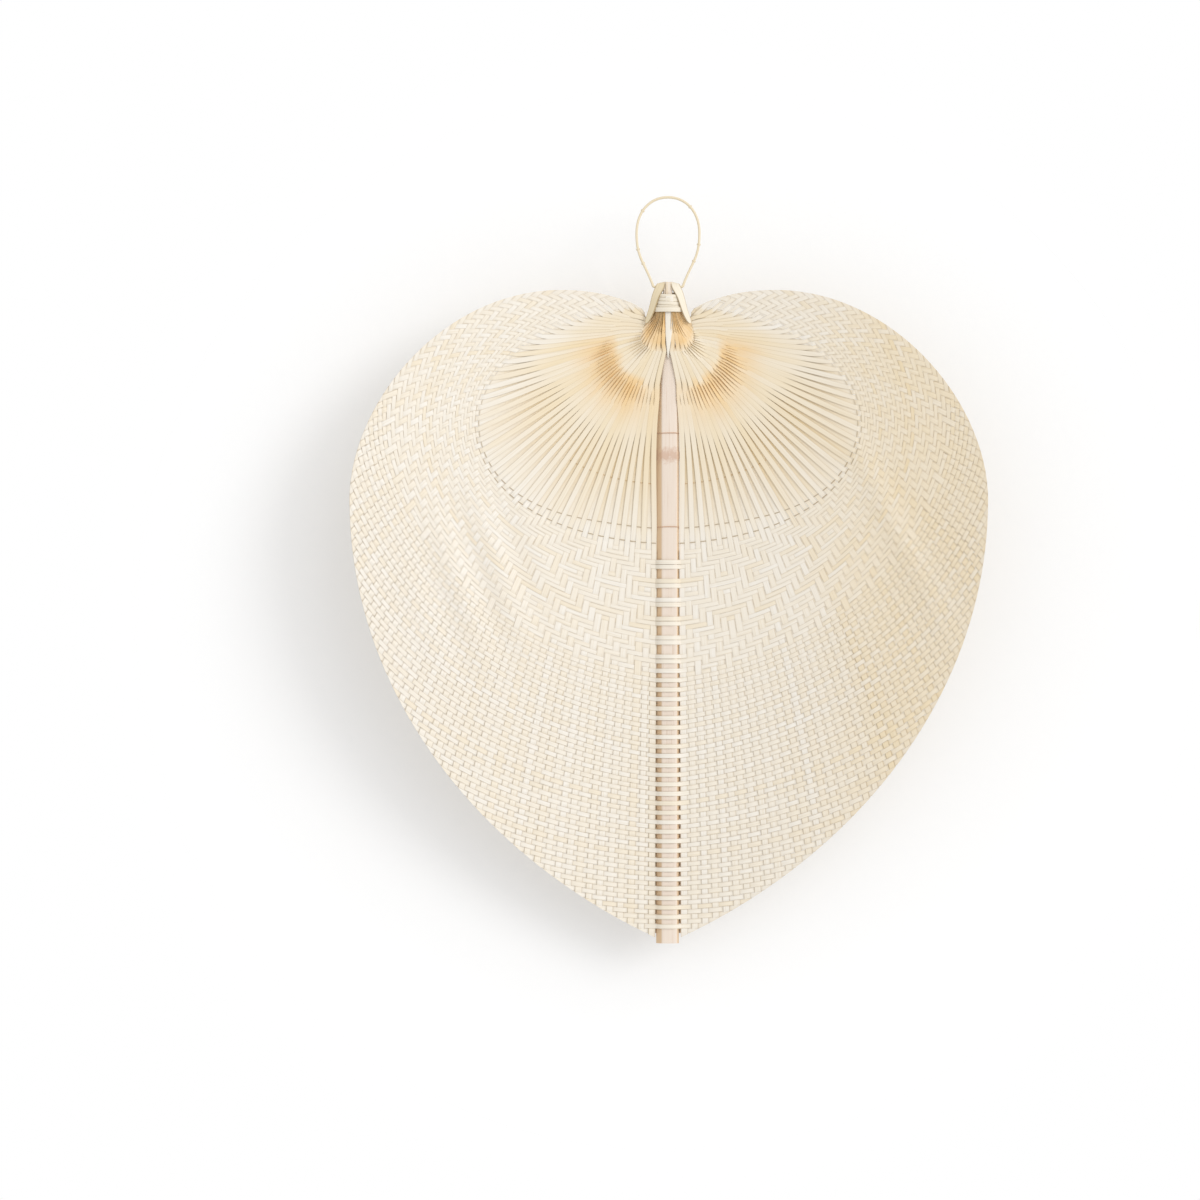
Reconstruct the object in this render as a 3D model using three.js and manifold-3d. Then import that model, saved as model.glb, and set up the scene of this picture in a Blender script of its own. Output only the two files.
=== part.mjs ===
// A woven split-bamboo hand fan that hangs by its loop, in millimetres, +Z up, its front towards -Y.
// The origin is the point of the loop that rests on a peg. The spine runs straight down from the loop's foot.
// Each side of the blade is a triangle of strips: ribs fan out from the neck, cross the oval ring and end at the rim,
// and wefts cross them from rim to rim, passing in front of the spine and behind it by turns.
import * as THREE from "three";
import { mergeVertices } from "three/addons/utils/BufferGeometryUtils.js";
import Module from "manifold-3d";

// Clearance between pieces that touch
const GAP = 0.3;

// Hanging loop, a thin strip bent to a teardrop
const LOOP_DROP = 42; // from the peg down to the axis of the loop's foot
const LOOP_WIDTH = 31; // outside
const LOOP_WIDEST_DROP = 16.5; // from the peg down to the widest part
const LOOP_FOOT_WIDTH = 17; // outside, between the two legs at the foot
const LOOP_STRIP_THICKNESS = 1.4;
const LOOP_STRIP_WIDTH = 2.4;

// Outline of the blade, a heart that stands on its point
const BLADE_WIDTH = 300;
const BLADE_LENGTH = 310; // from the shoulders' tops to the spine's tip
const SHOULDER_DROP = 1.7; // shoulders' tops below the axis of the loop's foot
const SHOULDER_SPREAD = 100; // between the two shoulders' tops
const WIDEST_DROP = 100; // from the shoulders' tops down to the widest part
const CLEFT_DROP = 8.6; // from the shoulders' tops down to the cleft's corners at the neck
const CLEFT_WIDTH = 25; // between the cleft's two corners
const DISH_DEPTH = 26; // how far the widest part stands in front of the spine
const DISH_POWER = 1.7; // a higher power keeps the middle flatter

// Oval ring where the ribs enter the weave
const RING_WIDTH = 178;
const RING_HEIGHT = 111;

// Strips
const STRIP_THICKNESS = 0.4;
const RIB_BUNDLES = 12; // on each side
const RIBS_PER_BUNDLE = 7;
const WEFTS_PER_BAND = 6;
const RING_WEFTS = 3; // rows of the ring itself, which pass behind the spine
const PAIRED_WEFTS = 28; // rows under the ring that pass the spine two and two
const RIB_STRAIGHTNESS = 0.5; // share of a straight line from ring to rim in a rib's run through the weave
const RIM_CROWDING = 0.05; // share of the rim's length by which the middle ribs end further up it
const WEFT_STRIP_WIDTH = 1.9;
const LAYER_GAP = 0.4; // between the rib layer and the weft layer in front of it
const BRIDGE_LAP = 0.7; // how far a weft's bridge over the spine runs into its band
const RIB_PLEAT = 0.5; // how far neighbouring rib edges stand forward and back in the open zone

// Spine
const SPINE_WIDTH = 8.2;
const SPINE_DEPTH = 4.6;
const SPINE_NECK_WIDTH = 4.4;
const SPINE_EDGE = 1.1; // chamfer along its four corners
const SPINE_TAPER_LENGTH = 36; // from the neck's base down to the full width
const SPINE_SIDE_SPACE = 2.2; // between the spine's flank and the first rib
const SPINE_TIP_PROUD = 2.4; // the square-cut tip below the rim
const NODE_RING_DROP = 80; // from the loop's foot down to the bamboo node
const NODE_RING_HEIGHT = 7;
const NODE_RING_SWELL = 0.3;

// Neck
const NECK_TOP_DROP = 2.4; // from the loop's foot down to the binding's first turn
const BINDING_TURNS = 4.25;
const BINDING_PITCH = 2;
const BINDING_RIBBON = 1.45; // height of the ribbon
const BINDING_THICKNESS = 0.5;
const NECK_TOP_DEPTH = 5.4; // of the gathered ribs at the first turn
const NECK_BASE_DEPTH = 9;
const NECK_TOP_WIDTH = 9;
const NECK_FLARE_DROP = 10; // how far the first ribs run down before they turn outwards
const NECK_FLARE_INNER = 2.8; // sideways run of the first rib over that drop
const NECK_LAST_DROP = 2; // how far the last ribs run down, beside the cleft
const NECK_FLARE_OUTER = 5.6; // sideways run of the last rib over that drop
const NECK_FLATTENING = 0.25; // share of their depth in the neck that the ribs still have at that turn
const TAIL_STAGGER = 0.6; // each inner column of ribs turns outwards this much lower
const STRAP_WIDTH = 3.8;
const STRAP_THICKNESS = 0.7;
const STRAP_REACH = 5; // how far the straps run down past the binding
const STRAP_TOP_SPREAD = 7; // between the middles of the straps over the loop's foot
const STRAP_FOOT_SPREAD = 20; // between the middles of the straps' ends
const STRAP_WRAP = 0.85; // share of the neck's width that the straps follow round its sides
const WEDGE_WIDTH = 3;
const WEDGE_LENGTH = 30;
const WEDGE_THICKNESS = 1.4;

// Threads
const TIE_DIAMETER = 0.7;
const UPPER_TIE_RISE = 10.5; // above the middle of the bamboo node
const LOWER_TIE_RISE = 6.6; // above the ring's foot
const TWINING_DIAMETER = 0.6;
const TWINING_RIBS = 24; // ribs that it crosses on each side
const TWINING_REACH = 0.83; // its share of the way from the neck to the ring

// Levels down the fan
const FOOT_Z = -LOOP_DROP;
const SHOULDER_Z = FOOT_Z - SHOULDER_DROP;
const WIDEST_Z = SHOULDER_Z - WIDEST_DROP;
const CLEFT_Z = SHOULDER_Z - CLEFT_DROP;
const TIP_Z = SHOULDER_Z - BLADE_LENGTH;
const NODE_Z = FOOT_Z - NODE_RING_DROP;
const NECK_TOP_Z = FOOT_Z - NECK_TOP_DROP;
const NECK_BASE_Z = NECK_TOP_Z - BINDING_TURNS * BINDING_PITCH - BINDING_RIBBON;

// Strip counts and the first rib's place beside the spine
const RIBS = RIB_BUNDLES * RIBS_PER_BUNDLE;
const INNER_X = SPINE_WIDTH / 2 + SPINE_SIDE_SPACE;
const RIB_LAYER = (LAYER_GAP + STRIP_THICKNESS) / 2;
const WEFT_LAYER = -RIB_LAYER;

const wasm = await Module();
wasm.setup();

// Depth of the dished blade at a distance from the spine.
const dish = (x) => -DISH_DEPTH * Math.pow(Math.abs(x) / (BLADE_WIDTH / 2), DISH_POWER);

// The half rim, from the tip past the widest part and over the shoulder to the cleft.
function makeRim() {
  const tip = new THREE.Vector2(INNER_X, TIP_Z + SPINE_TIP_PROUD);
  const widest = new THREE.Vector2(BLADE_WIDTH / 2, WIDEST_Z);
  const shoulder = new THREE.Vector2(SHOULDER_SPREAD / 2, SHOULDER_Z);
  const cleft = new THREE.Vector2(CLEFT_WIDTH / 2, CLEFT_Z);
  const flank = widest.y - tip.y;
  const TIP_ANGLE = THREE.MathUtils.degToRad(25);
  const CLEFT_ANGLE = THREE.MathUtils.degToRad(30);
  const handle = (from, angle, length) =>
    new THREE.Vector2(from.x + length * Math.cos(angle), from.y + length * Math.sin(angle));
  const rim = new THREE.CurvePath();
  rim.add(
    new THREE.CubicBezierCurve(
      tip,
      handle(tip, TIP_ANGLE, 0.43 * flank),
      new THREE.Vector2(widest.x, widest.y - 0.45 * flank),
      widest,
    ),
  );
  const shoulderRun = widest.x - shoulder.x;
  rim.add(
    new THREE.CubicBezierCurve(
      widest,
      new THREE.Vector2(widest.x, widest.y + 0.46 * WIDEST_DROP),
      new THREE.Vector2(shoulder.x + 0.56 * shoulderRun, shoulder.y),
      shoulder,
    ),
  );
  const cleftRun = shoulder.x - cleft.x;
  rim.add(
    new THREE.CubicBezierCurve(
      shoulder,
      new THREE.Vector2(shoulder.x - 0.4 * cleftRun, shoulder.y),
      handle(cleft, CLEFT_ANGLE, 0.3 * cleftRun),
      cleft,
    ),
  );
  return rim;
}

// The half ring, from beside the spine under the open zone to the cleft, an arc of one ellipse.
function makeRing() {
  const a = RING_WIDTH / 2;
  const b = RING_HEIGHT / 2;
  const topAngle = Math.acos(CLEFT_WIDTH / 2 / a);
  const middleZ = CLEFT_Z - b * Math.sin(topAngle);
  return new THREE.EllipseCurve(0, middleZ, a, b, -Math.acos(INNER_X / a), topAngle, false, 0);
}

const rim = makeRim();
const ring = makeRing();
const ringFoot = ring.getPointAt(0);
const rimTip = rim.getPointAt(0);
const cleftCorner = rim.getPointAt(1);
const clamp01 = (t) => Math.min(1, Math.max(0, t));
const onRing = (t) => ring.getPointAt(clamp01(t));
const onRim = (t) => rim.getPointAt(clamp01(t + RIM_CROWDING * Math.sin(Math.PI * clamp01(t)) ** 2));
const onSpineSide = (t) => ringFoot.clone().lerp(rimTip, t);

// The woven triangle of one side: rib number i counts from the spine to the cleft and weft number j from the ring to
// the tip. A triangular Coons patch fills the inside from its three edges, and is mixed with straight ribs.
function weave(i, j) {
  const b = clamp01(j / RIBS);
  const c = clamp01(i / RIBS);
  const a = Math.max(0, 1 - b - c);
  const blend = (p, wp, q, wq) => {
    const total = wp + wq;
    return total < 1e-9
      ? p.clone()
      : p.clone().multiplyScalar(wp / total).addScaledVector(q, wq / total);
  };
  const acrossRibs = blend(onSpineSide(1 - a), b, onRing(1 - a), c);
  const alongWeft = blend(onSpineSide(b), a, onRim(1 - b), c);
  const alongRib = blend(onRing(c), a, onRim(c), b);
  return acrossRibs
    .add(alongWeft)
    .add(alongRib)
    .addScaledVector(ringFoot, -a)
    .addScaledVector(rimTip, -b)
    .addScaledVector(cleftCorner, -c)
    .multiplyScalar(0.5)
    .lerp(alongRib, RIB_STRAIGHTNESS);
}

// A closed solid between two grids of points that share their row and column counts.
function slabGeometry(front, back) {
  const rows = front.length;
  const columns = front[0].length;
  const positions = [...front.flat(), ...back.flat()].flatMap((p) => [p.x, p.y, p.z]);
  const at = (row, column, side) => side * rows * columns + row * columns + column;
  const index = [];
  const quad = (a, b, c, d) => index.push(a, b, c, a, c, d);
  for (let r = 0; r + 1 < rows; r++)
    for (let c = 0; c + 1 < columns; c++) {
      quad(at(r, c, 0), at(r + 1, c, 0), at(r + 1, c + 1, 0), at(r, c + 1, 0));
      quad(at(r, c, 1), at(r, c + 1, 1), at(r + 1, c + 1, 1), at(r + 1, c, 1));
    }
  for (let r = 0; r + 1 < rows; r++) {
    quad(at(r, 0, 0), at(r, 0, 1), at(r + 1, 0, 1), at(r + 1, 0, 0));
    quad(at(r, columns - 1, 0), at(r + 1, columns - 1, 0), at(r + 1, columns - 1, 1), at(r, columns - 1, 1));
  }
  for (let c = 0; c + 1 < columns; c++) {
    quad(at(0, c, 0), at(0, c + 1, 0), at(0, c + 1, 1), at(0, c, 1));
    quad(at(rows - 1, c, 0), at(rows - 1, c, 1), at(rows - 1, c + 1, 1), at(rows - 1, c + 1, 0));
  }
  const geometry = new THREE.BufferGeometry();
  geometry.setAttribute("position", new THREE.Float32BufferAttribute(positions, 3));
  geometry.setIndex(index);
  return facingOut(geometry);
}

// Turns the faces round where the enclosed volume comes out negative.
function facingOut(geometry) {
  const p = geometry.getAttribute("position");
  const index = geometry.index.array;
  const corner = (k) => new THREE.Vector3().fromBufferAttribute(p, index[k]);
  let volume = 0;
  for (let k = 0; k < index.length; k += 3)
    volume += corner(k).dot(corner(k + 1).cross(corner(k + 2)));
  if (volume < 0)
    for (let k = 0; k < index.length; k += 3)
      [index[k + 1], index[k + 2]] = [index[k + 2], index[k + 1]];
  return geometry;
}

// A sheet of even thickness about a grid of points, thickened along the grid's own normals.
function sheetGeometry(grid, thickness) {
  const rows = grid.length;
  const columns = grid[0].length;
  const offset = (side) =>
    grid.map((row, r) =>
      row.map((p, c) => {
        const across = grid[r][Math.min(c + 1, columns - 1)].clone().sub(grid[r][Math.max(c - 1, 0)]);
        const along = grid[Math.min(r + 1, rows - 1)][c].clone().sub(grid[Math.max(r - 1, 0)][c]);
        const normal = across.cross(along).normalize();
        return p.clone().addScaledVector(normal, (side * thickness) / 2);
      }),
    );
  return slabGeometry(offset(-1), offset(1));
}

// Solids for joining
function toSolid(geometry) {
  const bare = geometry.clone();
  bare.deleteAttribute("normal");
  bare.deleteAttribute("uv");
  const merged = mergeVertices(bare, 1e-4);
  return new wasm.Manifold(
    new wasm.Mesh({
      numProp: 3,
      vertProperties: new Float32Array(merged.getAttribute("position").array),
      triVerts: new Uint32Array(merged.index.array),
    }),
  );
}

function toGeometry(solid) {
  const mesh = solid.getMesh();
  const geometry = new THREE.BufferGeometry();
  geometry.setAttribute("position", new THREE.BufferAttribute(mesh.vertProperties, 3));
  geometry.setIndex(new THREE.BufferAttribute(mesh.triVerts, 1));
  return geometry;
}

// The same geometry on the other side of the spine.
function mirrored(geometry) {
  return facingOut(geometry.clone().scale(-1, 1, 1));
}

// Half sizes of the gathered ribs in the neck, an ellipse that widens from the first turn to the base.
const TAIL_PITCH = STRIP_THICKNESS + GAP;
const TAIL_COLUMNS = RIB_BUNDLES / 2;
const tailX = (column) => SPINE_NECK_WIDTH / 2 + GAP + STRIP_THICKNESS / 2 + column * TAIL_PITCH;
const NECK_BASE_HALF = tailX(TAIL_COLUMNS - 1) + STRIP_THICKNESS / 2 + GAP;
function neckHalf(z) {
  const t = (NECK_TOP_Z - z) / (NECK_TOP_Z - NECK_BASE_Z);
  return {
    a: THREE.MathUtils.lerp(NECK_TOP_WIDTH / 2, NECK_BASE_HALF, t),
    b: THREE.MathUtils.lerp(NECK_TOP_DEPTH / 2, NECK_BASE_DEPTH / 2, t),
  };
}

// Half depth left for a rib bundle's tail at a place in the neck.
const TAIL_LEAST_SHARE = 0.97;
function tailHalfDepth(x, z) {
  const { a, b } = neckHalf(z);
  const share = Math.min((x + STRIP_THICKNESS / 2) / a, TAIL_LEAST_SHARE);
  return b * Math.sqrt(1 - share * share);
}

// The path of one rib edge: its tail in the neck, the open zone to the ring and the weave to the rim.
// Bundles stand two to a column in the neck, one in front of the other.
const TAIL_TOP_MARGIN = 0.6;
const TAIL_TOP_RANGE = [0.02, 0.8]; // shares of the binding's height that a tail may stop short of its top
const OPEN_STATIONS = [0.2, 0.4, 0.65, 1];
function ribPath(bundle, share, edge) {
  const column = Math.floor(bundle / 2);
  const row = bundle % 2;
  const x = tailX(column);
  const depthShare = row === 0 ? share - 1 : share;
  const side = row === 0 ? -GAP : GAP;
  const rise = (x + TAIL_TOP_MARGIN - NECK_TOP_WIDTH / 2) / (NECK_BASE_HALF - NECK_TOP_WIDTH / 2);
  const topZ = THREE.MathUtils.lerp(NECK_TOP_Z, NECK_BASE_Z, THREE.MathUtils.clamp(rise, ...TAIL_TOP_RANGE));
  const tail = (z) => new THREE.Vector3(x, side + depthShare * (tailHalfDepth(x, z) - GAP), z);
  const top = tail(topZ);
  const baseZ = NECK_BASE_Z - (TAIL_COLUMNS - 1 - column) * TAIL_STAGGER;
  const base = tail(baseZ);
  const rib = bundle * RIBS_PER_BUNDLE + GAP / 4 + share * (RIBS_PER_BUNDLE - GAP / 2);
  const target = onRing(rib / RIBS);
  const ringEnd = new THREE.Vector3(target.x, dish(target.x) + RIB_LAYER, target.y);
  const aside = rib / RIBS;
  const knee = new THREE.Vector3(
    base.x + THREE.MathUtils.lerp(NECK_FLARE_INNER, NECK_FLARE_OUTER, aside),
    base.y * NECK_FLATTENING,
    baseZ - THREE.MathUtils.lerp(NECK_FLARE_DROP, NECK_LAST_DROP, aside),
  );
  const open = new THREE.QuadraticBezierCurve3(base, knee, ringEnd);
  const pleat = edge % 2 === 0 ? 1 : -1;
  const points = [top, base];
  for (const t of OPEN_STATIONS) {
    const p = open.getPoint(t);
    p.y += pleat * RIB_PLEAT * Math.sin(Math.PI * t);
    points.push(p);
  }
  for (const t of [0.34, 0.67, 1]) {
    const p = weave(rib, t * (RIBS - rib));
    points.push(new THREE.Vector3(p.x, dish(p.x) + RIB_LAYER, p.y));
  }
  return points;
}

// The point of a rib edge at a share of the way from the neck to the ring, past its last station but one.
function onOpenRib(path, reach) {
  const [late, end] = OPEN_STATIONS.slice(-2);
  const last = 1 + OPEN_STATIONS.length;
  return path[last - 1].clone().lerp(path[last], (reach - late) / (end - late));
}

// One bundle of ribs on the right side, a pleated sheet that turns from upright in the neck to flat in the weave.
function ribBundleGeometry(bundle) {
  const edges = Array.from({ length: RIBS_PER_BUNDLE + 1 }, (_, edge) =>
    ribPath(bundle, edge / RIBS_PER_BUNDLE, edge),
  );
  const rows = edges[0].map((_, r) => edges.map((path) => path[r]));
  return sheetGeometry(rows, STRIP_THICKNESS);
}

// Level of a weft row's upper edge on the spine.
const weftZ = (j) => THREE.MathUtils.lerp(ringFoot.y, rimTip.y, j / RIBS);
const WEFT_EDGE = 0.07; // share of a row left free on each side of a band

// The right half of a weft band, from the spine's side to the rim.
const WEFT_STEPS = 10;
function weftSheetGeometry(first, last) {
  const edges = [first + WEFT_EDGE, last - WEFT_EDGE];
  const rows = Array.from({ length: WEFT_STEPS + 1 }, (_, step) =>
    edges.map((j) => {
      const p = weave((step / WEFT_STEPS) * (RIBS - j), j);
      return new THREE.Vector3(p.x, dish(p.x) + WEFT_LAYER, p.y);
    }),
  );
  return sheetGeometry(rows, STRIP_THICKNESS);
}

// One weft's bridge over the spine, in front of it or behind it, joined to both halves of its band.
function bridgeGeometry(inFront, lowZ, highZ) {
  const rest = dish(INNER_X) + WEFT_LAYER;
  const out = SPINE_DEPTH / 2 + GAP + STRIP_THICKNESS / 2;
  const start = INNER_X + BRIDGE_LAP;
  const half = inFront
    ? [[start, rest], [SPINE_WIDTH / 2 + 0.5, -out]]
    : [[start, rest], [INNER_X - 0.4, rest], [SPINE_WIDTH / 2 + 0.8, out]];
  const path = [...half, ...half.slice().reverse().map(([x, y]) => [-x, y])].map(([x, y]) => new THREE.Vector2(x, y));
  return ribbonGeometry(path, STRIP_THICKNESS, lowZ, highZ);
}

// An upright ribbon along a path in the XY plane.
function ribbonGeometry(path, thickness, lowZ, highZ) {
  const side = (sign) =>
    path.map((p, k) => {
      const before = path[Math.max(k - 1, 0)];
      const after = path[Math.min(k + 1, path.length - 1)];
      const into = p.clone().sub(before).normalize();
      const outOf = after.clone().sub(p).normalize();
      const along = into.add(outOf).normalize();
      const bend = k === 0 || k === path.length - 1 ? 1 : Math.max(0.5, along.dot(outOf));
      return p.clone().add(new THREE.Vector2(-along.y, along.x).multiplyScalar((sign * thickness) / 2 / bend));
    });
  const grid = (sign) => [lowZ, highZ].map((z) => side(sign).map((p) => new THREE.Vector3(p.x, p.y, z)));
  return slabGeometry(grid(1), grid(-1));
}

// Wefts that pass the spine in front: none in the ring, pairs under it, then every other row.
const passesInFront = (j) => j >= RING_WEFTS && (j < PAIRED_WEFTS ? (j + 1) % 4 < 2 : j % 2 === 0);

// A weft band: both halves and the bridges between them. Neighbouring wefts on the same face share one bridge.
function weftBandGeometry(first, last) {
  const half = weftSheetGeometry(first, last);
  let solid = toSolid(half).add(toSolid(mirrored(half)));
  const pitch = weftZ(0) - weftZ(1);
  const slack = (pitch - WEFT_STRIP_WIDTH) / 2;
  let j = first;
  while (j < last) {
    let end = j + 1;
    while (j < PAIRED_WEFTS && end < last && passesInFront(end) === passesInFront(j)) end++;
    solid = solid.add(toSolid(bridgeGeometry(passesInFront(j), weftZ(end) + slack, weftZ(j) - slack)));
    j = end;
  }
  return toGeometry(solid);
}

// The spine: a chamfered flat stick, slim in the neck, with one bamboo node.
function spineGeometry() {
  const section = (width, depth, z) => {
    const x = width / 2;
    const y = depth / 2;
    const e = Math.min(SPINE_EDGE, x * 0.45, y * 0.45);
    return [[x, -y + e], [x, y - e], [x - e, y], [-x + e, y], [-x, y - e], [-x, -y + e], [-x + e, -y], [x - e, -y]].map(
      ([px, py]) => new THREE.Vector3(px, py, z),
    );
  };
  const full = [SPINE_WIDTH, SPINE_DEPTH];
  const neck = [SPINE_NECK_WIDTH, SPINE_DEPTH];
  const swollen = full.map((size) => size + 2 * NODE_RING_SWELL);
  const foot = LOOP_STRIP_WIDTH / 2 + GAP;
  return loftGeometry([
    section(SPINE_NECK_WIDTH, SPINE_DEPTH * 0.8, FOOT_Z - foot),
    section(...neck, NECK_BASE_Z),
    section(...full, NECK_BASE_Z - SPINE_TAPER_LENGTH),
    section(...full, NODE_Z + NODE_RING_HEIGHT / 2),
    section(...swollen, NODE_Z + NODE_RING_HEIGHT / 6),
    section(...swollen, NODE_Z - NODE_RING_HEIGHT / 6),
    section(...full, NODE_Z - NODE_RING_HEIGHT / 2),
    section(...full, TIP_Z),
  ]);
}

// A closed solid through rings of points, open rings capped by a fan or closed on themselves.
function loftGeometry(rings, closed = false) {
  const count = rings[0].length;
  const positions = rings.flat().flatMap((p) => [p.x, p.y, p.z]);
  const index = [];
  const at = (r, k) => (r % rings.length) * count + (k % count);
  const spans = closed ? rings.length : rings.length - 1;
  for (let r = 0; r < spans; r++)
    for (let k = 0; k < count; k++) {
      index.push(at(r, k), at(r, k + 1), at(r + 1, k + 1));
      index.push(at(r, k), at(r + 1, k + 1), at(r + 1, k));
    }
  if (!closed)
    for (let k = 1; k + 1 < count; k++) {
      index.push(at(0, 0), at(0, k + 1), at(0, k));
      index.push(at(rings.length - 1, 0), at(rings.length - 1, k), at(rings.length - 1, k + 1));
    }
  const geometry = new THREE.BufferGeometry();
  geometry.setAttribute("position", new THREE.Float32BufferAttribute(positions, 3));
  geometry.setIndex(index);
  return facingOut(geometry);
}

// The neck binding: one flat ribbon wound down round the gathered ribs.
const BINDING_STEPS_PER_TURN = 24;
function bindingGeometry() {
  const steps = Math.round(BINDING_TURNS * BINDING_STEPS_PER_TURN);
  const clearance = GAP + BINDING_THICKNESS / 2;
  const middles = [];
  const rings = [];
  for (let step = 0; step <= steps; step++) {
    const turn = step / BINDING_STEPS_PER_TURN;
    const angle = turn * 2 * Math.PI;
    const z = NECK_TOP_Z - BINDING_RIBBON / 2 - turn * BINDING_PITCH;
    const { a, b } = neckHalf(z - BINDING_RIBBON / 2);
    const outward = new THREE.Vector3(Math.cos(angle) / a, Math.sin(angle) / b, 0).normalize();
    const middle = new THREE.Vector3(a * Math.cos(angle), b * Math.sin(angle), z).addScaledVector(outward, clearance);
    middles.push(middle);
    const corner = (radial, up) =>
      middle
        .clone()
        .addScaledVector(outward, (radial * BINDING_THICKNESS) / 2)
        .add(new THREE.Vector3(0, 0, (up * BINDING_RIBBON) / 2));
    rings.push([corner(-1, -1), corner(1, -1), corner(1, 1), corner(-1, 1)]);
  }
  let least = Infinity;
  for (let k = 0; k + BINDING_STEPS_PER_TURN < middles.length; k++)
    least = Math.min(least, middles[k].z - middles[k + BINDING_STEPS_PER_TURN].z - BINDING_RIBBON);
  console.log("neck binding, least gap between its turns: " + least.toFixed(2) + " mm");
  return loftGeometry(rings);
}

// Depth of a strap's middle surface at a place on the binding, which it follows round the neck's side.
function strapDepth(x, z) {
  const { a, b } = neckHalf(Math.max(z, NECK_BASE_Z));
  const over = GAP + BINDING_THICKNESS + GAP + STRAP_THICKNESS;
  const share = Math.min(x / (a + over), STRAP_WRAP);
  return (b + over) * Math.sqrt(1 - share * share);
}

// The right neck strap: up the front, over the loop's foot and down the back.
const FOOT_RADIUS = Math.hypot(LOOP_STRIP_THICKNESS / 4, LOOP_STRIP_WIDTH / 2);
const STRAP_LEG_STEPS = 5;
function strapGeometry() {
  const startX = STRAP_TOP_SPREAD / 2;
  const endX = STRAP_FOOT_SPREAD / 2;
  const endZ = NECK_BASE_Z - STRAP_REACH;
  const foldRadius = FOOT_RADIUS + GAP + STRAP_THICKNESS / 2;
  const across = (middle) => [-1, 0, 1].map((side) => middle + (side * STRAP_WIDTH) / 2);
  const leg = Array.from({ length: STRAP_LEG_STEPS + 1 }, (_, step) => {
    const z = THREE.MathUtils.lerp(endZ, NECK_TOP_Z, step / STRAP_LEG_STEPS);
    const middle = THREE.MathUtils.mapLinear(z, FOOT_Z, endZ, startX, endX);
    return across(middle).map((x) => new THREE.Vector3(x, strapDepth(x, z), z));
  });
  const fold = [0, 45, 90].map((degrees) => {
    const angle = THREE.MathUtils.degToRad(degrees);
    const y = foldRadius * Math.cos(angle);
    const z = FOOT_Z + foldRadius * Math.sin(angle);
    return across(startX).map((x) => new THREE.Vector3(x, y, z));
  });
  const back = [...leg, ...fold];
  const front = back.slice(0, -1).reverse().map((row) => row.map((p) => new THREE.Vector3(p.x, -p.y, p.z)));
  return sheetGeometry([...back, ...front], STRAP_THICKNESS);
}

// The neck wedge: a pointed sliver between the spine and the binding.
function wedgeGeometry() {
  const topZ = NECK_TOP_Z - BINDING_PITCH;
  const backY = -(SPINE_DEPTH / 2 + GAP);
  const station = (share, width, thickness) => {
    const z = topZ - share * WEDGE_LENGTH;
    const x = width / 2;
    return [[-x, backY], [-x, backY - thickness], [x, backY - thickness], [x, backY]].map(
      ([px, py]) => new THREE.Vector3(px, py, z),
    );
  };
  const slim = Math.min(WEDGE_THICKNESS, neckHalf(topZ).b - GAP + backY);
  return loftGeometry([
    station(0, WEDGE_WIDTH * 0.8, Math.max(0.4, slim)),
    station(0.3, WEDGE_WIDTH, WEDGE_THICKNESS),
    station(0.6, WEDGE_WIDTH * 0.8, WEDGE_THICKNESS * 0.8),
    station(1, WEDGE_WIDTH * 0.12, WEDGE_THICKNESS * 0.4),
  ]);
}

// A thread tied round the spine.
function tieGeometry(z) {
  const reach = GAP + TIE_DIAMETER / 2;
  const x = SPINE_WIDTH / 2 + reach;
  const y = SPINE_DEPTH / 2 + reach;
  const e = SPINE_EDGE;
  const route = [[x, -y + e], [x, y - e], [x - e, y], [-x + e, y], [-x, y - e], [-x, -y + e], [-x + e, -y], [x - e, -y]];
  const middles = route.map(([px, py]) => new THREE.Vector3(px, py, z));
  return closedTubeGeometry(middles, TIE_DIAMETER, new THREE.Vector3(0, 0, 1));
}

// A round tube that closes on itself, in a plane with the given normal.
function closedTubeGeometry(middles, diameter, normal, sides = 6) {
  const count = middles.length;
  const rings = middles.map((p, k) => {
    const before = middles[(k + count - 1) % count];
    const after = middles[(k + 1) % count];
    const along = after.clone().sub(before).normalize();
    const outward = along.clone().cross(normal).normalize();
    return Array.from({ length: sides }, (_, s) => {
      const angle = (2 * Math.PI * s) / sides;
      return p
        .clone()
        .addScaledVector(outward, (diameter / 2) * Math.cos(angle))
        .addScaledVector(normal, (diameter / 2) * Math.sin(angle));
    });
  });
  return loftGeometry(rings, true);
}

// The twining thread of the right side, in front of the ribs a little inside the ring.
const TWINING_STEPS = 16;
function twiningGeometry() {
  const middle = (rib) => {
    const front = (number) => {
      const bundle = Math.floor(number / RIBS_PER_BUNDLE);
      return onOpenRib(ribPath(bundle, number / RIBS_PER_BUNDLE - bundle, 1), TWINING_REACH);
    };
    const { x, z } = front(rib);
    const nearest = Math.min(...[-1, 0, 1].map((step) => front(Math.max(0, rib + step)).y));
    return new THREE.Vector3(x, nearest - STRIP_THICKNESS / 2 - GAP - TWINING_DIAMETER / 2, z);
  };
  const points = Array.from({ length: TWINING_STEPS + 1 }, (_, k) =>
    middle(0.5 + (k / TWINING_STEPS) * (TWINING_RIBS - 0.5)),
  );
  const shape = new THREE.Shape();
  const SIDES = 6;
  for (let s = 0; s < SIDES; s++) {
    const angle = (2 * Math.PI * s) / SIDES;
    const x = (TWINING_DIAMETER / 2) * Math.cos(angle);
    const y = (TWINING_DIAMETER / 2) * Math.sin(angle);
    if (s === 0) shape.moveTo(x, y);
    else shape.lineTo(x, y);
  }
  shape.closePath();
  const extrudePath = new THREE.CatmullRomCurve3(points);
  return new THREE.ExtrudeGeometry(shape, { steps: TWINING_STEPS, extrudePath, bevelEnabled: false });
}

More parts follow.
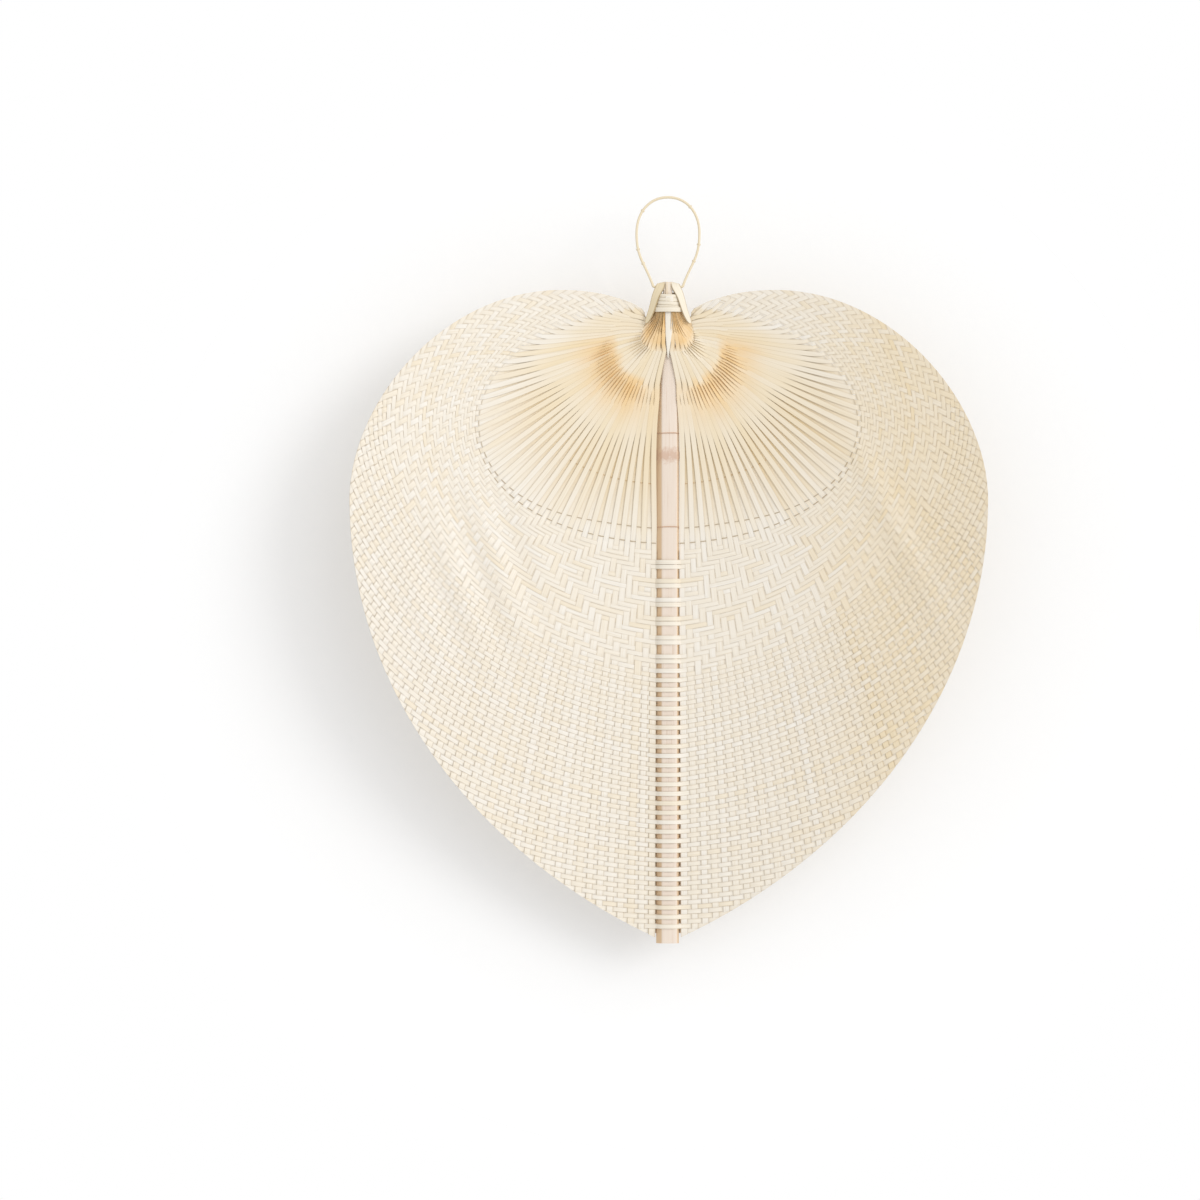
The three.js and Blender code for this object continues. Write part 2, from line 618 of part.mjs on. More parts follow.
// The hanging loop: a teardrop whose straight foot lies under the straps' fold.
function loopGeometry() {
  const half = LOOP_STRIP_THICKNESS / 2;
  const widest = LOOP_WIDTH / 2 - half;
  const root = LOOP_FOOT_WIDTH / 2 - half;
  const corner = LOOP_STRIP_THICKNESS;
  const V = (x, z) => new THREE.Vector3(x, 0, z);
  const apex = V(0, half);
  const wide = V(widest, -LOOP_WIDEST_DROP);
  const legFoot = V(root, FOOT_Z + corner);
  const top = new THREE.CubicBezierCurve3(apex, V(widest * 0.6, half), V(widest, -LOOP_WIDEST_DROP * 0.4), wide);
  const legHandle = (wide.z - legFoot.z) * 0.45;
  const leg = new THREE.CubicBezierCurve3(
    wide,
    V(widest, wide.z - legHandle),
    V(root + 1.2, legFoot.z + legHandle),
    legFoot,
  );
  const right = [...top.getPoints(7).slice(1), ...leg.getPoints(7).slice(1), V(root - corner, FOOT_Z)];
  const left = right.slice().reverse().map((p) => V(-p.x, p.z));
  const middles = [apex, ...right, V(0, FOOT_Z), ...left];
  const count = middles.length;
  const rings = middles.map((p, k) => {
    const along = middles[(k + 1) % count].clone().sub(middles[(k + count - 1) % count]).normalize();
    const outward = new THREE.Vector3(along.z, 0, -along.x);
    const wideHalf = LOOP_STRIP_WIDTH / 2;
    const corners = [[1, 0.5], [0.5, 1], [-0.5, 1], [-1, 0.5], [-1, -0.5], [-0.5, -1], [0.5, -1], [1, -0.5]];
    return corners.map(([u, v]) => p.clone().addScaledVector(outward, u * half).add(new THREE.Vector3(0, v * wideHalf, 0)));
  });
  return loftGeometry(rings, true);
}

// Materials
const bamboo = (color, roughness) => new THREE.MeshStandardMaterial({ color, roughness, metalness: 0 });
const PALE_STRIP = bamboo(0xefe2c4, 0.5);
const WEFT_STRIP = bamboo(0xf3e9d2, 0.48);
const SPINE_WOOD = bamboo(0xe2cdb8, 0.55);
const BINDING_STRIP = bamboo(0xe6d6b8, 0.5);
const LOOP_WOOD = bamboo(0xc9a97a, 0.55);
const THREAD = bamboo(0x8a6a45, 0.8);

function add(group, name, geometry, material) {
  const mesh = new THREE.Mesh(geometry, material);
  mesh.name = name;
  group.add(mesh);
}

const two = (number) => String(number).padStart(2, "0");

const fan = new THREE.Group();
add(fan, "hanging_loop", loopGeometry(), LOOP_WOOD);
add(fan, "spine", spineGeometry(), SPINE_WOOD);
add(fan, "neck_binding", bindingGeometry(), BINDING_STRIP);
add(fan, "neck_wedge", wedgeGeometry(), BINDING_STRIP);
add(fan, "upper_spine_tie", tieGeometry(NODE_Z + UPPER_TIE_RISE), THREAD);
add(fan, "lower_spine_tie", tieGeometry(ringFoot.y + LOWER_TIE_RISE), THREAD);
for (let first = 0, band = 1; first < RIBS; first += WEFTS_PER_BAND, band++)
  add(fan, "weft_band_" + two(band), weftBandGeometry(first, Math.min(first + WEFTS_PER_BAND, RIBS)), WEFT_STRIP);

for (const side of ["right", "left"]) {
  const half = new THREE.Group();
  half.scale.x = side === "right" ? 1 : -1;
  for (let bundle = 0; bundle < RIB_BUNDLES; bundle++)
    add(half, side + "_rib_bundle_" + two(bundle + 1), ribBundleGeometry(bundle), PALE_STRIP);
  add(half, side + "_neck_strap", strapGeometry(), BINDING_STRIP);
  add(half, side + "_twining_thread", twiningGeometry(), THREAD);
  fan.add(half);
}

export default fan;
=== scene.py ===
"""Dresses the woven bamboo hand fan: every strip of its weave, its neck, its loop, its light and its camera.

Sizes are millimetres of the fan, in the frame of the solids: +Z up, the front towards -Y, and the origin at the point
of the loop that rests on a peg. Meshes are made in metres.
"""

from __future__ import annotations

import logging
import math
import random
from dataclasses import dataclass, field
from enum import Enum
from typing import Callable, Iterable, Sequence

import bmesh
import bpy
import numpy as np
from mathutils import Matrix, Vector

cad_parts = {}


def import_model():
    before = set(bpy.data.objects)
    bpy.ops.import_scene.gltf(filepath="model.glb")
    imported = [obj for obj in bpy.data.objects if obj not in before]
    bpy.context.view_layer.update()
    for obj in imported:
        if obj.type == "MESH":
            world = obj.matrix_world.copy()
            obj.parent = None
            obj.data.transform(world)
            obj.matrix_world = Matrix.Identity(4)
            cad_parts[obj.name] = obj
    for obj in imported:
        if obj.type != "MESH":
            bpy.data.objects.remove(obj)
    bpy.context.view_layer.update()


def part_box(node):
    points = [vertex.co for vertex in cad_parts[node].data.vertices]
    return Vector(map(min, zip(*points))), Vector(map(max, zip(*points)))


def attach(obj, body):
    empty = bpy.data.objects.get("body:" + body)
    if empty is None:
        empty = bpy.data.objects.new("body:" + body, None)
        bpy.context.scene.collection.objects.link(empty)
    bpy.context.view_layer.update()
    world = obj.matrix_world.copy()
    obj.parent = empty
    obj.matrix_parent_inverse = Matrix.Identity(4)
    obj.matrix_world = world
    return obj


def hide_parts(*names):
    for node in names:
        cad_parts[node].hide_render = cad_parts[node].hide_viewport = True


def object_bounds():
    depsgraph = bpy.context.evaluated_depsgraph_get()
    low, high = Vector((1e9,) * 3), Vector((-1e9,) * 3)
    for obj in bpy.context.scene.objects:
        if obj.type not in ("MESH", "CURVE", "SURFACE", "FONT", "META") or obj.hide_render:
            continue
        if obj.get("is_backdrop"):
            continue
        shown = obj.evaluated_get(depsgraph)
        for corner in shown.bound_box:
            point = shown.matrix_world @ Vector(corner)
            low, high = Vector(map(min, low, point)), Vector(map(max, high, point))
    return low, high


log = logging.getLogger("bamboo_fan")

Pair = tuple[float, float]
Piece = bpy.types.Object
Material = bpy.types.Material
Tree = bpy.types.NodeTree
Socket = bpy.types.NodeSocket

MM = 0.001
LEVEL = 1e-6  # metres by which the ends of a level edge may differ
FAN_BODY = "fan"
HANGER_BODY = "hanger"
SEED = 84
PIXEL = 0.475  # millimetres of the fan behind one pixel of the photograph
IMAGE_SIDE = 1200  # pixels


class Side(Enum):
    """The two halves of the blade, by the sign of their x."""

    RIGHT = 1
    LEFT = -1


class Weave(Enum):
    """How the wefts pass the ribs in one zone of the blade."""

    RING = "one and one, by two thin rows"
    DIAMOND = "three and three, turned about a centre beside the spine"
    TWILL = "two and two, stepped by one"
    PLAIN = "one and one"


# Small tools


def linear(code: str) -> tuple[float, float, float, float]:
    """Turns an sRGB hex colour into linear light.

    Args:
        code: The colour, such as "F5EEDD".

    Returns:
        Linear red, green, blue and a full alpha.
    """
    channels = [int(code[k : k + 2], 16) / 255 for k in (0, 2, 4)]
    light = [c / 12.92 if c <= 0.04045 else ((c + 0.055) / 1.055) ** 2.4 for c in channels]
    return (*light, 1.0)


def add_node(
    tree: Tree, kind: str, inputs: dict[str | int, object] | None = None, **settings: object
) -> bpy.types.Node:
    """Adds a shader node with its settings, values and links.

    Args:
        tree: The material's node tree.
        kind: The node's type, such as "ShaderNodeBump".
        inputs: A value or an output socket for each input.
        settings: Properties of the node itself.

    Returns:
        The new node.
    """
    node = tree.nodes.new(kind)
    for name, value in settings.items():
        setattr(node, name, value)
    for name, value in (inputs or {}).items():
        if isinstance(value, Socket):
            tree.links.new(value, node.inputs[name])
        else:
            node.inputs[name].default_value = value
    return node


def unit(vectors: np.ndarray) -> np.ndarray:
    """Scales each row to length one."""
    return vectors / np.maximum(np.linalg.norm(vectors, axis=-1, keepdims=True), 1e-12)


def along(points: np.ndarray) -> np.ndarray:
    """Gives the direction of a path at each of its points."""
    return unit(np.gradient(points, axis=0))


def smooth_step(low: float, high: float, value: np.ndarray) -> np.ndarray:
    """Rises smoothly from 0 at low to 1 at high."""
    t = np.clip((value - low) / (high - low), 0, 1)
    return t * t * (3 - 2 * t)


def clear_bench() -> None:
    """Leaves edit mode and deselects everything."""
    if bpy.context.mode != "OBJECT":
        bpy.ops.object.mode_set(mode="OBJECT")
    bpy.ops.object.select_all(action="DESELECT")


def take_up(piece: Piece) -> None:
    """Makes a piece the only selected and active one."""
    clear_bench()
    piece.select_set(True)
    bpy.context.view_layer.objects.active = piece


def settle(piece: Piece, name: str) -> Piece:
    """Names a piece and puts its place into its mesh.

    Args:
        piece: The finished object.
        name: Its name.

    Returns:
        The same object.
    """
    take_up(piece)
    bpy.ops.object.transform_apply(location=True, rotation=True, scale=True)
    piece.name = name
    piece.data.name = name
    return piece


def hand_over(piece: Piece, body: str, nodes: Iterable[str], material: Material) -> None:
    """Dresses a piece, hangs it on the body that it rides on and hides the solids that it stands for.

    Args:
        piece: The finished object.
        body: The body that it moves with.
        nodes: The solids that it replaces.
        material: Its finish.
    """
    piece.data.materials.clear()
    piece.data.materials.append(material)
    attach(piece, body)
    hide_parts(*nodes)
    log.info("%s: %d faces", piece.name, len(piece.data.polygons))


# Finishes


def start_material(name: str) -> tuple[Material, Tree, bpy.types.Node]:
    """Starts a principled material.

    Args:
        name: Its name.

    Returns:
        The material, its node tree and its shader.
    """
    made = bpy.data.materials.new(name)
    made.use_nodes = True
    return made, made.node_tree, made.node_tree.nodes["Principled BSDF"]


def mix(tree: Tree, share: object, first: object, second: object) -> Socket:
    """Mixes two colours, by values or sockets."""
    node = add_node(tree, "ShaderNodeMix", {"Factor": share, 6: first, 7: second}, data_type="RGBA")
    return node.outputs[2]


def spread(
    tree: Tree, value: Socket, before: Pair = (0.0, 1.0), after: Pair = (0.0, 1.0), **settings: object
) -> Socket:
    """Maps a value from one range to another and holds it at the ends.

    Args:
        tree: The material's node tree.
        value: The socket that gives the value.
        before: The range that it comes from.
        after: The range that it goes to.
        settings: Properties of the node itself.

    Returns:
        The mapped value's socket.
    """
    inputs = {"Value": value, "From Min": before[0], "From Max": before[1], "To Min": after[0], "To Max": after[1]}
    return add_node(tree, "ShaderNodeMapRange", inputs, **settings).outputs[0]


def compute(tree: Tree, operation: str, *values: object) -> Socket:
    """Does one step of arithmetic on values or sockets."""
    return add_node(tree, "ShaderNodeMath", dict(enumerate(values)), operation=operation).outputs[0]


def noise(tree: Tree, place: object, scale: float, detail: float, rough: float) -> Socket:
    """Gives a mottle from 0 to 1."""
    inputs = {"Vector": place, "Scale": scale, "Detail": detail, "Roughness": rough}
    return add_node(tree, "ShaderNodeTexNoise", inputs).outputs["Fac"]


def emboss(tree: Tree, shader: bpy.types.Node, height: Socket, strength: float, depth: float) -> None:
    """Gives a shader a fine relief, whose depth is in millimetres."""
    bump = add_node(tree, "ShaderNodeBump", {"Height": height, "Strength": strength, "Distance": depth * MM})
    tree.links.new(bump.outputs[0], shader.inputs["Normal"])


@dataclass(frozen=True)
class SplitBamboo:
    """Split bamboo, shaved flat: pale, silky along its fibres, with a thin tan line along its edges, partly its skin
    and partly painted shade of the gaps between strips.

    Strips carry their tone, which in places holds painted shade too, the painted golden shade where they stand on
    edge and turn near the neck, the strength of their edge lines and the distance from the middle line as attributes,
    and a UV map in millimetres along and across the strip.
    """

    name: str = "split_bamboo_shaved"
    pale: str = "F4EEE4"
    straw: str = "EFD9AE"
    # painted golden shade of strips that stand on edge and turn near the neck
    turn_shade_gold: str = "EFC27A"
    # tan of the edge lines: the strips' skin, and painted shade of the gaps between them
    skin: str = "96793F"
    edge_line_share: float = 0.24  # of the half width that the edge line takes up
    fibre_shade: str = "D2B983"
    fibre_width: float = 0.34  # true fibres are finer and would not show
    fibre_length: float = 26.0
    fibre_strength: float = 0.3
    fibre_span: Pair = (0.45, 0.75)  # levels of the mottle that turn into streaks
    roughness: Pair = (0.38, 0.58)  # from fibre to fibre
    relief: float = 0.18
    relief_depth: float = 0.06
    ior: float = 1.5

    def material(self) -> Material:
        """Builds the material.

        Returns:
            A principled material that reads the strip's attributes.
        """
        made, tree, shader = start_material(self.name)
        tone, turn_shade, skin, edge = (
            add_node(tree, "ShaderNodeAttribute", attribute_name=name).outputs["Fac"]
            for name in ("tone", "turn_shade", "skin", "edge")
        )
        strip_map = add_node(tree, "ShaderNodeUVMap", uv_map="strip").outputs[0]
        scale = (1 / self.fibre_length, 1 / self.fibre_width, 1)
        stretched = add_node(tree, "ShaderNodeMapping", {"Vector": strip_map, "Scale": scale}).outputs[0]
        fibre = noise(tree, stretched, 1.0, 3.0, 0.6)
        streak = spread(tree, fibre, self.fibre_span, (0.0, self.fibre_strength))
        line = spread(tree, edge, (1 - self.edge_line_share, 1.0))
        colour = mix(tree, tone, linear(self.pale), linear(self.straw))
        colour = mix(tree, streak, colour, linear(self.fibre_shade))
        # painted shade: gold where the strips stand on edge and turn near the neck
        colour = mix(tree, turn_shade, colour, linear(self.turn_shade_gold))
        # tan edge lines: the strips' skin, and painted shade of the gaps between them
        colour = mix(tree, compute(tree, "MULTIPLY", line, skin), colour, linear(self.skin))
        tree.links.new(colour, shader.inputs["Base Color"])
        tree.links.new(spread(tree, fibre, after=self.roughness), shader.inputs["Roughness"])
        emboss(tree, shader, fibre, self.relief, self.relief_depth)
        shader.inputs["IOR"].default_value = self.ior
        return made


@dataclass(frozen=True)
class SolidBamboo:
    """Bamboo stick, scraped: straight grain down its length with short dark vessels, and a brown node."""

    name: str
    pale: str
    dark: str
    vessel: str = "B48A5E"
    vessel_span: Pair = (0.6, 0.74)  # levels of the grain that turn into vessels
    vessel_strength: float = 0.55
    grain_width: float = 0.55
    grain_length: float = 34.0
    node: str = "CBA286"
    node_level: float | None = None
    node_height: float = 8.5
    node_strength: float = 0.62
    node_ragged: float = 4.5  # how far the speckle shifts the node up or down
    node_speckle: float = 1.6
    # tan along both flanks: the stick's skin, and painted shade of the gaps beside it
    flank: str = "E2BF92"
    flank_skin_and_shade_strength: float = 0.8
    flank_fade: float = 0.5
    face_span: Pair | None = None  # the left and right edge of the pale front between the flanks
    roughness: float = 0.5
    relief: float = 0.25
    relief_depth: float = 0.1
    ior: float = 1.5

    def material(self) -> Material:
        """Builds the material.

        Returns:
            A principled material on Object coordinates, with its grain along Z.
        """
        made, tree, shader = start_material(self.name)
        place = add_node(tree, "ShaderNodeTexCoord").outputs["Object"]
        across = 1 / (self.grain_width * MM)
        scale = (across, across, 1 / (self.grain_length * MM))
        stretched = add_node(tree, "ShaderNodeMapping", {"Vector": place, "Scale": scale}).outputs[0]
        grain = noise(tree, stretched, 1.0, 4.0, 0.62)
        vessels = spread(tree, grain, self.vessel_span, (0.0, self.vessel_strength))
        colour = mix(tree, grain, linear(self.pale), linear(self.dark))
        colour = mix(tree, vessels, colour, linear(self.vessel))
        if self.face_span is not None:
            # paints the tan flanks: skin, and painted shade of the gaps beside the stick
            colour = mix(tree, self._flank_skin_and_shade_share(tree, place), colour, linear(self.flank))
        if self.node_level is not None:
            colour = mix(tree, self._node_share(tree, place), colour, linear(self.node))
        tree.links.new(colour, shader.inputs["Base Color"])
        emboss(tree, shader, grain, self.relief, self.relief_depth)
        shader.inputs["Roughness"].default_value = self.roughness
        shader.inputs["IOR"].default_value = self.ior
        return made

    def _flank_skin_and_shade_share(self, tree: Tree, place: Socket) -> Socket:
        """Gives how much tan shows along both flanks of the stick: its skin, and painted shade of the gaps beside it.

        Args:
            tree: The material's node tree.
            place: Object coordinates.

        Returns:
            The share's socket.
        """
        left, right = self.face_span
        edge = (right - left) / 2
        x = add_node(tree, "ShaderNodeSeparateXYZ", {"Vector": place}).outputs["X"]
        aside = compute(tree, "ABSOLUTE", compute(tree, "SUBTRACT", x, (left + right) / 2 * MM))
        return spread(tree, aside, (edge * MM, (edge + self.flank_fade) * MM), (0.0, self.flank_skin_and_shade_strength))

    def _node_share(self, tree: Tree, place: Socket) -> Socket:
        """Gives how much of the bamboo node's speckled brown line shows.

        Args:
            tree: The material's node tree.
            place: Object coordinates.

        Returns:
            The share's socket.
        """
        z = add_node(tree, "ShaderNodeSeparateXYZ", {"Vector": place}).outputs["Z"]
        speckle = noise(tree, place, 1 / (self.node_speckle * MM), 3.0, 0.7)
        low, high = (self.node_level - self.node_ragged) * MM, (self.node_level + self.node_ragged) * MM
        away = compute(tree, "ABSOLUTE", compute(tree, "SUBTRACT", z, spread(tree, speckle, after=(low, high))))
        fading = (0.1 * self.node_height * MM, 0.5 * self.node_height * MM)
        return spread(tree, away, fading, (self.node_strength, 0.0))


@dataclass(frozen=True)
class PlantThread:
    """Twisted plant-fibre thread, waxed: brown and dull, with a fine twist."""

    name: str = "plant_thread_waxed"
    dark: str = "C0977A"
    light: str = "DDBEA2"
    twist: float = 0.5
    roughness: float = 0.75
    relief: float = 0.4
    relief_depth: float = 0.1

    def material(self) -> Material:
        """Builds the material.

        Returns:
            A principled material with a fine mottle.
        """
        made, tree, shader = start_material(self.name)
        place = add_node(tree, "ShaderNodeTexCoord").outputs["Object"]
        mottle = noise(tree, place, 1 / (self.twist * MM), 2.0, 0.5)
        tree.links.new(mix(tree, mottle, linear(self.dark), linear(self.light)), shader.inputs["Base Color"])
        emboss(tree, shader, mottle, self.relief, self.relief_depth)
        shader.inputs["Roughness"].default_value = self.roughness
        return made


# The blade's lattice


class ArcCurve:
    """A flat curve that is read by its share of arc length."""

    def __init__(self, points: np.ndarray) -> None:
        """Keeps the curve's points and the length up to each of them."""
        self.points = points
        steps = np.linalg.norm(np.diff(points, axis=0), axis=1)
        self.lengths = np.concatenate([[0.0], np.cumsum(steps)])

    def at(self, share: np.ndarray) -> np.ndarray:
        """Gives the points at some shares of the length.

        Args:
            share: Numbers from 0 to 1.

        Returns:
            One (x, z) row for each.
        """
        reach = np.clip(share, 0, 1) * self.lengths[-1]
        return np.stack([np.interp(reach, self.lengths, self.points[:, k]) for k in (0, 1)], axis=-1)


def cubic(a: Sequence[float], b: Sequence[float], c: Sequence[float], d: Sequence[float]) -> np.ndarray:
    """Gives points along a cubic curve with its two ends and two handles."""
    t = np.linspace(0, 1, 240)[:, None]
    a, b, c, d = (np.array(p, dtype=float) for p in (a, b, c, d))
    return (1 - t) ** 3 * a + 3 * (1 - t) ** 2 * t * b + 3 * (1 - t) * t**2 * c + t**3 * d


@dataclass
class Blade:
    """The dished heart of the blade, and the lattice of ribs and wefts on each half of it."""

    width: float = 300.0
    tip_level: float = -351.3
    widest_level: float = -143.7
    shoulder_level: float = -43.7
    shoulder_spread: float = 100.0
    cleft_level: float = -52.3
    cleft_width: float = 25.0
    dish_depth: float = 26.0
    dish_power: float = 1.7
    ring_width: float = 178.0
    ring_height: float = 111.0
    inner: float = 5.3  # from the spine's middle to the first rib
    strips: int = 84  # ribs on each half, and wefts
    ring_wefts: int = 2  # thin rows of the ring itself
    spine_start: int = 4  # first weft that passes in front of the spine
    paired_wefts: int = 26  # up to here they pass it two and two
    rib_straightness: float = 0.5  # share of a straight line from ring to rim in a rib's run through the weave
    rim_crowding: float = 0.05  # share of the rim's length by which the middle ribs end further up it
    diamond_centre: tuple[int, int] = (7, 10)
    diamond_ribs: int = 26
    diamond_wefts: int = 21
    twill_wefts: int = 28
    diamond_float: int = 3  # ribs that a weft passes at a time in the diamonds
    twill_float: int = 2  # and in the twill
    rim_angles: Pair = (25.0, 30.0)  # above the horizontal, at the tip and at the cleft
    lower_handles: Pair = (0.43, 0.45)  # of the height from the tip to the widest part
    upper_handles: Pair = (0.46, 0.56)  # of the height and the breadth up to the shoulder
    inward_handles: Pair = (0.4, 0.3)  # of the breadth from the shoulder to the cleft
    ripple_height: float = 0.8
    ripple_slant: float = 0.35
    ripple_length: float = 3.6
    ripple_centre: Pair = (-90.0, -180.0)
    ripple_reach: Pair = (26.0, 34.0)
    crease_height: float = -1.1
    crease_centre: Pair = (107.0, -157.0)
    crease_run: Pair = (-0.44, 0.9)
    crease_reach: Pair = (6.0, 48.0)  # across it and along it
    rim: ArcCurve = field(init=False)
    ring: ArcCurve = field(init=False)

    def __post_init__(self) -> None:
        """Draws the rim and the ring."""
        self.rim = ArcCurve(self._draw_rim())
        self.ring = ArcCurve(self._draw_ring())
        self.ring_foot = self.ring.points[0]
        self.rim_tip = self.rim.points[0]
        self.cleft = self.rim.points[-1]

    def _draw_rim(self) -> np.ndarray:
        """Draws the half rim from the tip past the widest part and the shoulder to the cleft."""
        tip = np.array([self.inner, self.tip_level])
        widest = np.array([self.width / 2, self.widest_level])
        shoulder = np.array([self.shoulder_spread / 2, self.shoulder_level])
        cleft = np.array([self.cleft_width / 2, self.cleft_level])
        flank = widest[1] - tip[1]
        rise = shoulder[1] - widest[1]
        top = widest[0] - shoulder[0]
        dip = shoulder[0] - cleft[0]

        def handle(start: np.ndarray, degrees: float, length: float) -> np.ndarray:
            """Places a handle at an angle above the horizontal."""
            angle = math.radians(degrees)
            return start + length * np.array([math.cos(angle), math.sin(angle)])

        tip_angle, cleft_angle = self.rim_angles
        first, second = self.lower_handles
        lower = cubic(tip, handle(tip, tip_angle, first * flank), widest - [0, second * flank], widest)
        first, second = self.upper_handles
        upper = cubic(widest, widest + [0, first * rise], shoulder + [second * top, 0], shoulder)
        first, second = self.inward_handles
        inward = cubic(shoulder, shoulder - [first * dip, 0], handle(cleft, cleft_angle, second * dip), cleft)
        return np.concatenate([lower, upper[1:], inward[1:]])

    def _draw_ring(self) -> np.ndarray:
        """Draws the half ring, an arc of one ellipse, from beside the spine to the cleft."""
        a = self.ring_width / 2
        b = self.ring_height / 2
        top = math.acos(self.cleft_width / 2 / a)
        middle = self.cleft_level - b * math.sin(top)
        angles = np.linspace(-math.acos(self.inner / a), top, 600)
        return np.stack([a * np.cos(angles), middle + b * np.sin(angles)], axis=-1)

    def spine_side(self, share: np.ndarray) -> np.ndarray:
        """Gives points down the spine's side, from the ring's foot to the tip."""
        share = np.asarray(share)[..., None]
        return self.ring_foot + (self.rim_tip - self.ring_foot) * share

    def on_rim(self, share: np.ndarray) -> np.ndarray:
        """Gives the places on the rim where ribs end, from the tip to the cleft."""
        share = np.clip(share, 0, 1)
        return self.rim.at(share + self.rim_crowding * np.sin(np.pi * share) ** 2)

    def place(self, rib: np.ndarray, weft: np.ndarray) -> np.ndarray:
        """Gives the flat place of a point of the weave, on the right half.

        A triangle with three curved edges is filled from them, spine side, ring and rim. The result is mixed with
        straight ribs.

        Args:
            rib: Rib numbers, counted from the spine to the cleft.
            weft: Weft numbers, counted from the ring to the tip.

        Returns:
            One (x, z) row for each.
        """
        rib, weft = np.broadcast_arrays(np.asarray(rib, dtype=float), np.asarray(weft, dtype=float))
        b = np.clip(weft / self.strips, 0, 1)
        c = np.clip(rib / self.strips, 0, 1)
        a = np.maximum(0, 1 - b - c)

        def blend(p: np.ndarray, weight_p: np.ndarray, q: np.ndarray, weight_q: np.ndarray) -> np.ndarray:
            """Mixes two edges by their weights."""
            share = np.where(weight_p + weight_q < 1e-9, 0, weight_q / np.maximum(weight_p + weight_q, 1e-9))
            return p + (q - p) * share[..., None]

        across = blend(self.spine_side(1 - a), b, self.ring.at(1 - a), c)
        on_weft = blend(self.spine_side(b), a, self.on_rim(1 - b), c)
        on_rib = blend(self.ring.at(c), a, self.on_rim(c), b)
        corners = a[..., None] * self.ring_foot + b[..., None] * self.rim_tip + c[..., None] * self.cleft
        filled = 0.5 * (across + on_weft + on_rib - corners)
        return filled + (on_rib - filled) * self.rib_straightness

    def pitches(self, rib: np.ndarray, weft: np.ndarray) -> tuple[np.ndarray, np.ndarray]:
        """Gives the distances between neighbouring strips at some points of the weave, square to the strips.

        Args:
            rib: Rib numbers.
            weft: Weft numbers.

        Returns:
            The distances from rib to rib and from weft to weft.
        """
        rib, weft = np.broadcast_arrays(np.asarray(rib, dtype=float), np.asarray(weft, dtype=float))
        outside = np.maximum(0, rib + weft + 1 - self.strips) / 2
        rib = np.maximum(rib - outside, 0.5)
        weft = np.maximum(weft - outside, 0.5)
        across = self.place(rib + 0.5, weft) - self.place(rib - 0.5, weft)
        down = self.place(rib, weft + 0.5) - self.place(rib, weft - 0.5)
        area = np.abs(across[..., 0] * down[..., 1] - across[..., 1] * down[..., 0])
        return area / np.linalg.norm(down, axis=-1), area / np.linalg.norm(across, axis=-1)

    def depth(self, x: np.ndarray, z: np.ndarray) -> np.ndarray:
        """Gives how far the blade's middle stands from the spine's plane: the dish, two ripples and a crease."""
        dish = -self.dish_depth * (np.abs(x) / (self.width / 2)) ** self.dish_power
        aside = (x - self.ripple_centre[0]) / self.ripple_reach[0]
        above = (z - self.ripple_centre[1]) / self.ripple_reach[1]
        waves = self.ripple_height * np.sin((x + self.ripple_slant * z) / self.ripple_length)
        ripple = waves * np.exp(-(aside**2) - above**2)
        aside = x - self.crease_centre[0]
        above = z - self.crease_centre[1]
        run_x, run_z = self.crease_run
        across = (aside * run_z - above * run_x) / self.crease_reach[0]
        run = (above * run_z + aside * run_x) / self.crease_reach[1]
        crease = self.crease_height * np.exp(-(across**2) - run**2)
        return dish + ripple + crease

    def on_surface(self, flat: np.ndarray, side: Side) -> tuple[np.ndarray, np.ndarray]:
        """Lifts flat places onto the dished blade.

        Args:
            flat: (x, z) rows on the right half.
            side: The half that they belong to.

        Returns:
            The points, and the unit normals towards the front.
        """
        x = flat[:, 0] * side.value
        z = flat[:, 1]
        step = 0.5
        slope_x = (self.depth(x + step, z) - self.depth(x - step, z)) / (2 * step)
        slope_z = (self.depth(x, z + step) - self.depth(x, z - step)) / (2 * step)
        points = np.stack([x, self.depth(x, z), z], axis=-1)
        normals = unit(np.stack([slope_x, -np.ones_like(x), slope_z], axis=-1))
        return points, normals

    def in_front_of_spine(self, weft: int) -> bool:
        """Says whether a weft passes in front of the spine: not in the ring, in pairs under it, then one and one."""
        if weft < self.spine_start:
            return False
        return weft % 4 < 2 if weft < self.paired_wefts else weft % 2 == 1

    def zone(self, rib: int, weft: int) -> Weave:
        """Names the weave at a crossing."""
        if weft < self.ring_wefts:
            return Weave.RING
        if weft < self.diamond_wefts and rib < self.diamond_ribs:
            return Weave.DIAMOND
        return Weave.TWILL if weft < self.twill_wefts else Weave.PLAIN

    def weft_on_top(self, rib: int, weft: int) -> bool:
        """Says whether the weft lies in front of the rib at a crossing."""
        zone = self.zone(rib, weft)
        if zone is Weave.RING:
            return (rib + weft) % 2 == 1
        if rib == 0:
            return self.in_front_of_spine(weft)
        if zone is Weave.DIAMOND:
            away = abs(rib - self.diamond_centre[0]) + abs(weft - self.diamond_centre[1])
            return away % (2 * self.diamond_float) < self.diamond_float
        if zone is Weave.TWILL:
            return (rib + weft + self.twill_float) % (2 * self.twill_float) < self.twill_float
        return (rib + self.in_front_of_spine(weft)) % 2 == 1


# Strips


@dataclass
class StripPath:
    """The run of one strip: its middle line, where its faces look, and what it carries at each station."""

    points: np.ndarray
    normals: np.ndarray
    width: np.ndarray
    thickness: float
    tone: float | np.ndarray
    # painted golden shade at each station
    turn_shade: np.ndarray
    skin: tuple[float | np.ndarray, float | np.ndarray] = (0.0, 0.0)  # strength on the left and the right edge
    whole_face_line: bool = False  # whether the line covers the whole face
    end_slants: Pair = (0.0, 0.0)  # how far the right edge runs ahead of the left at each end


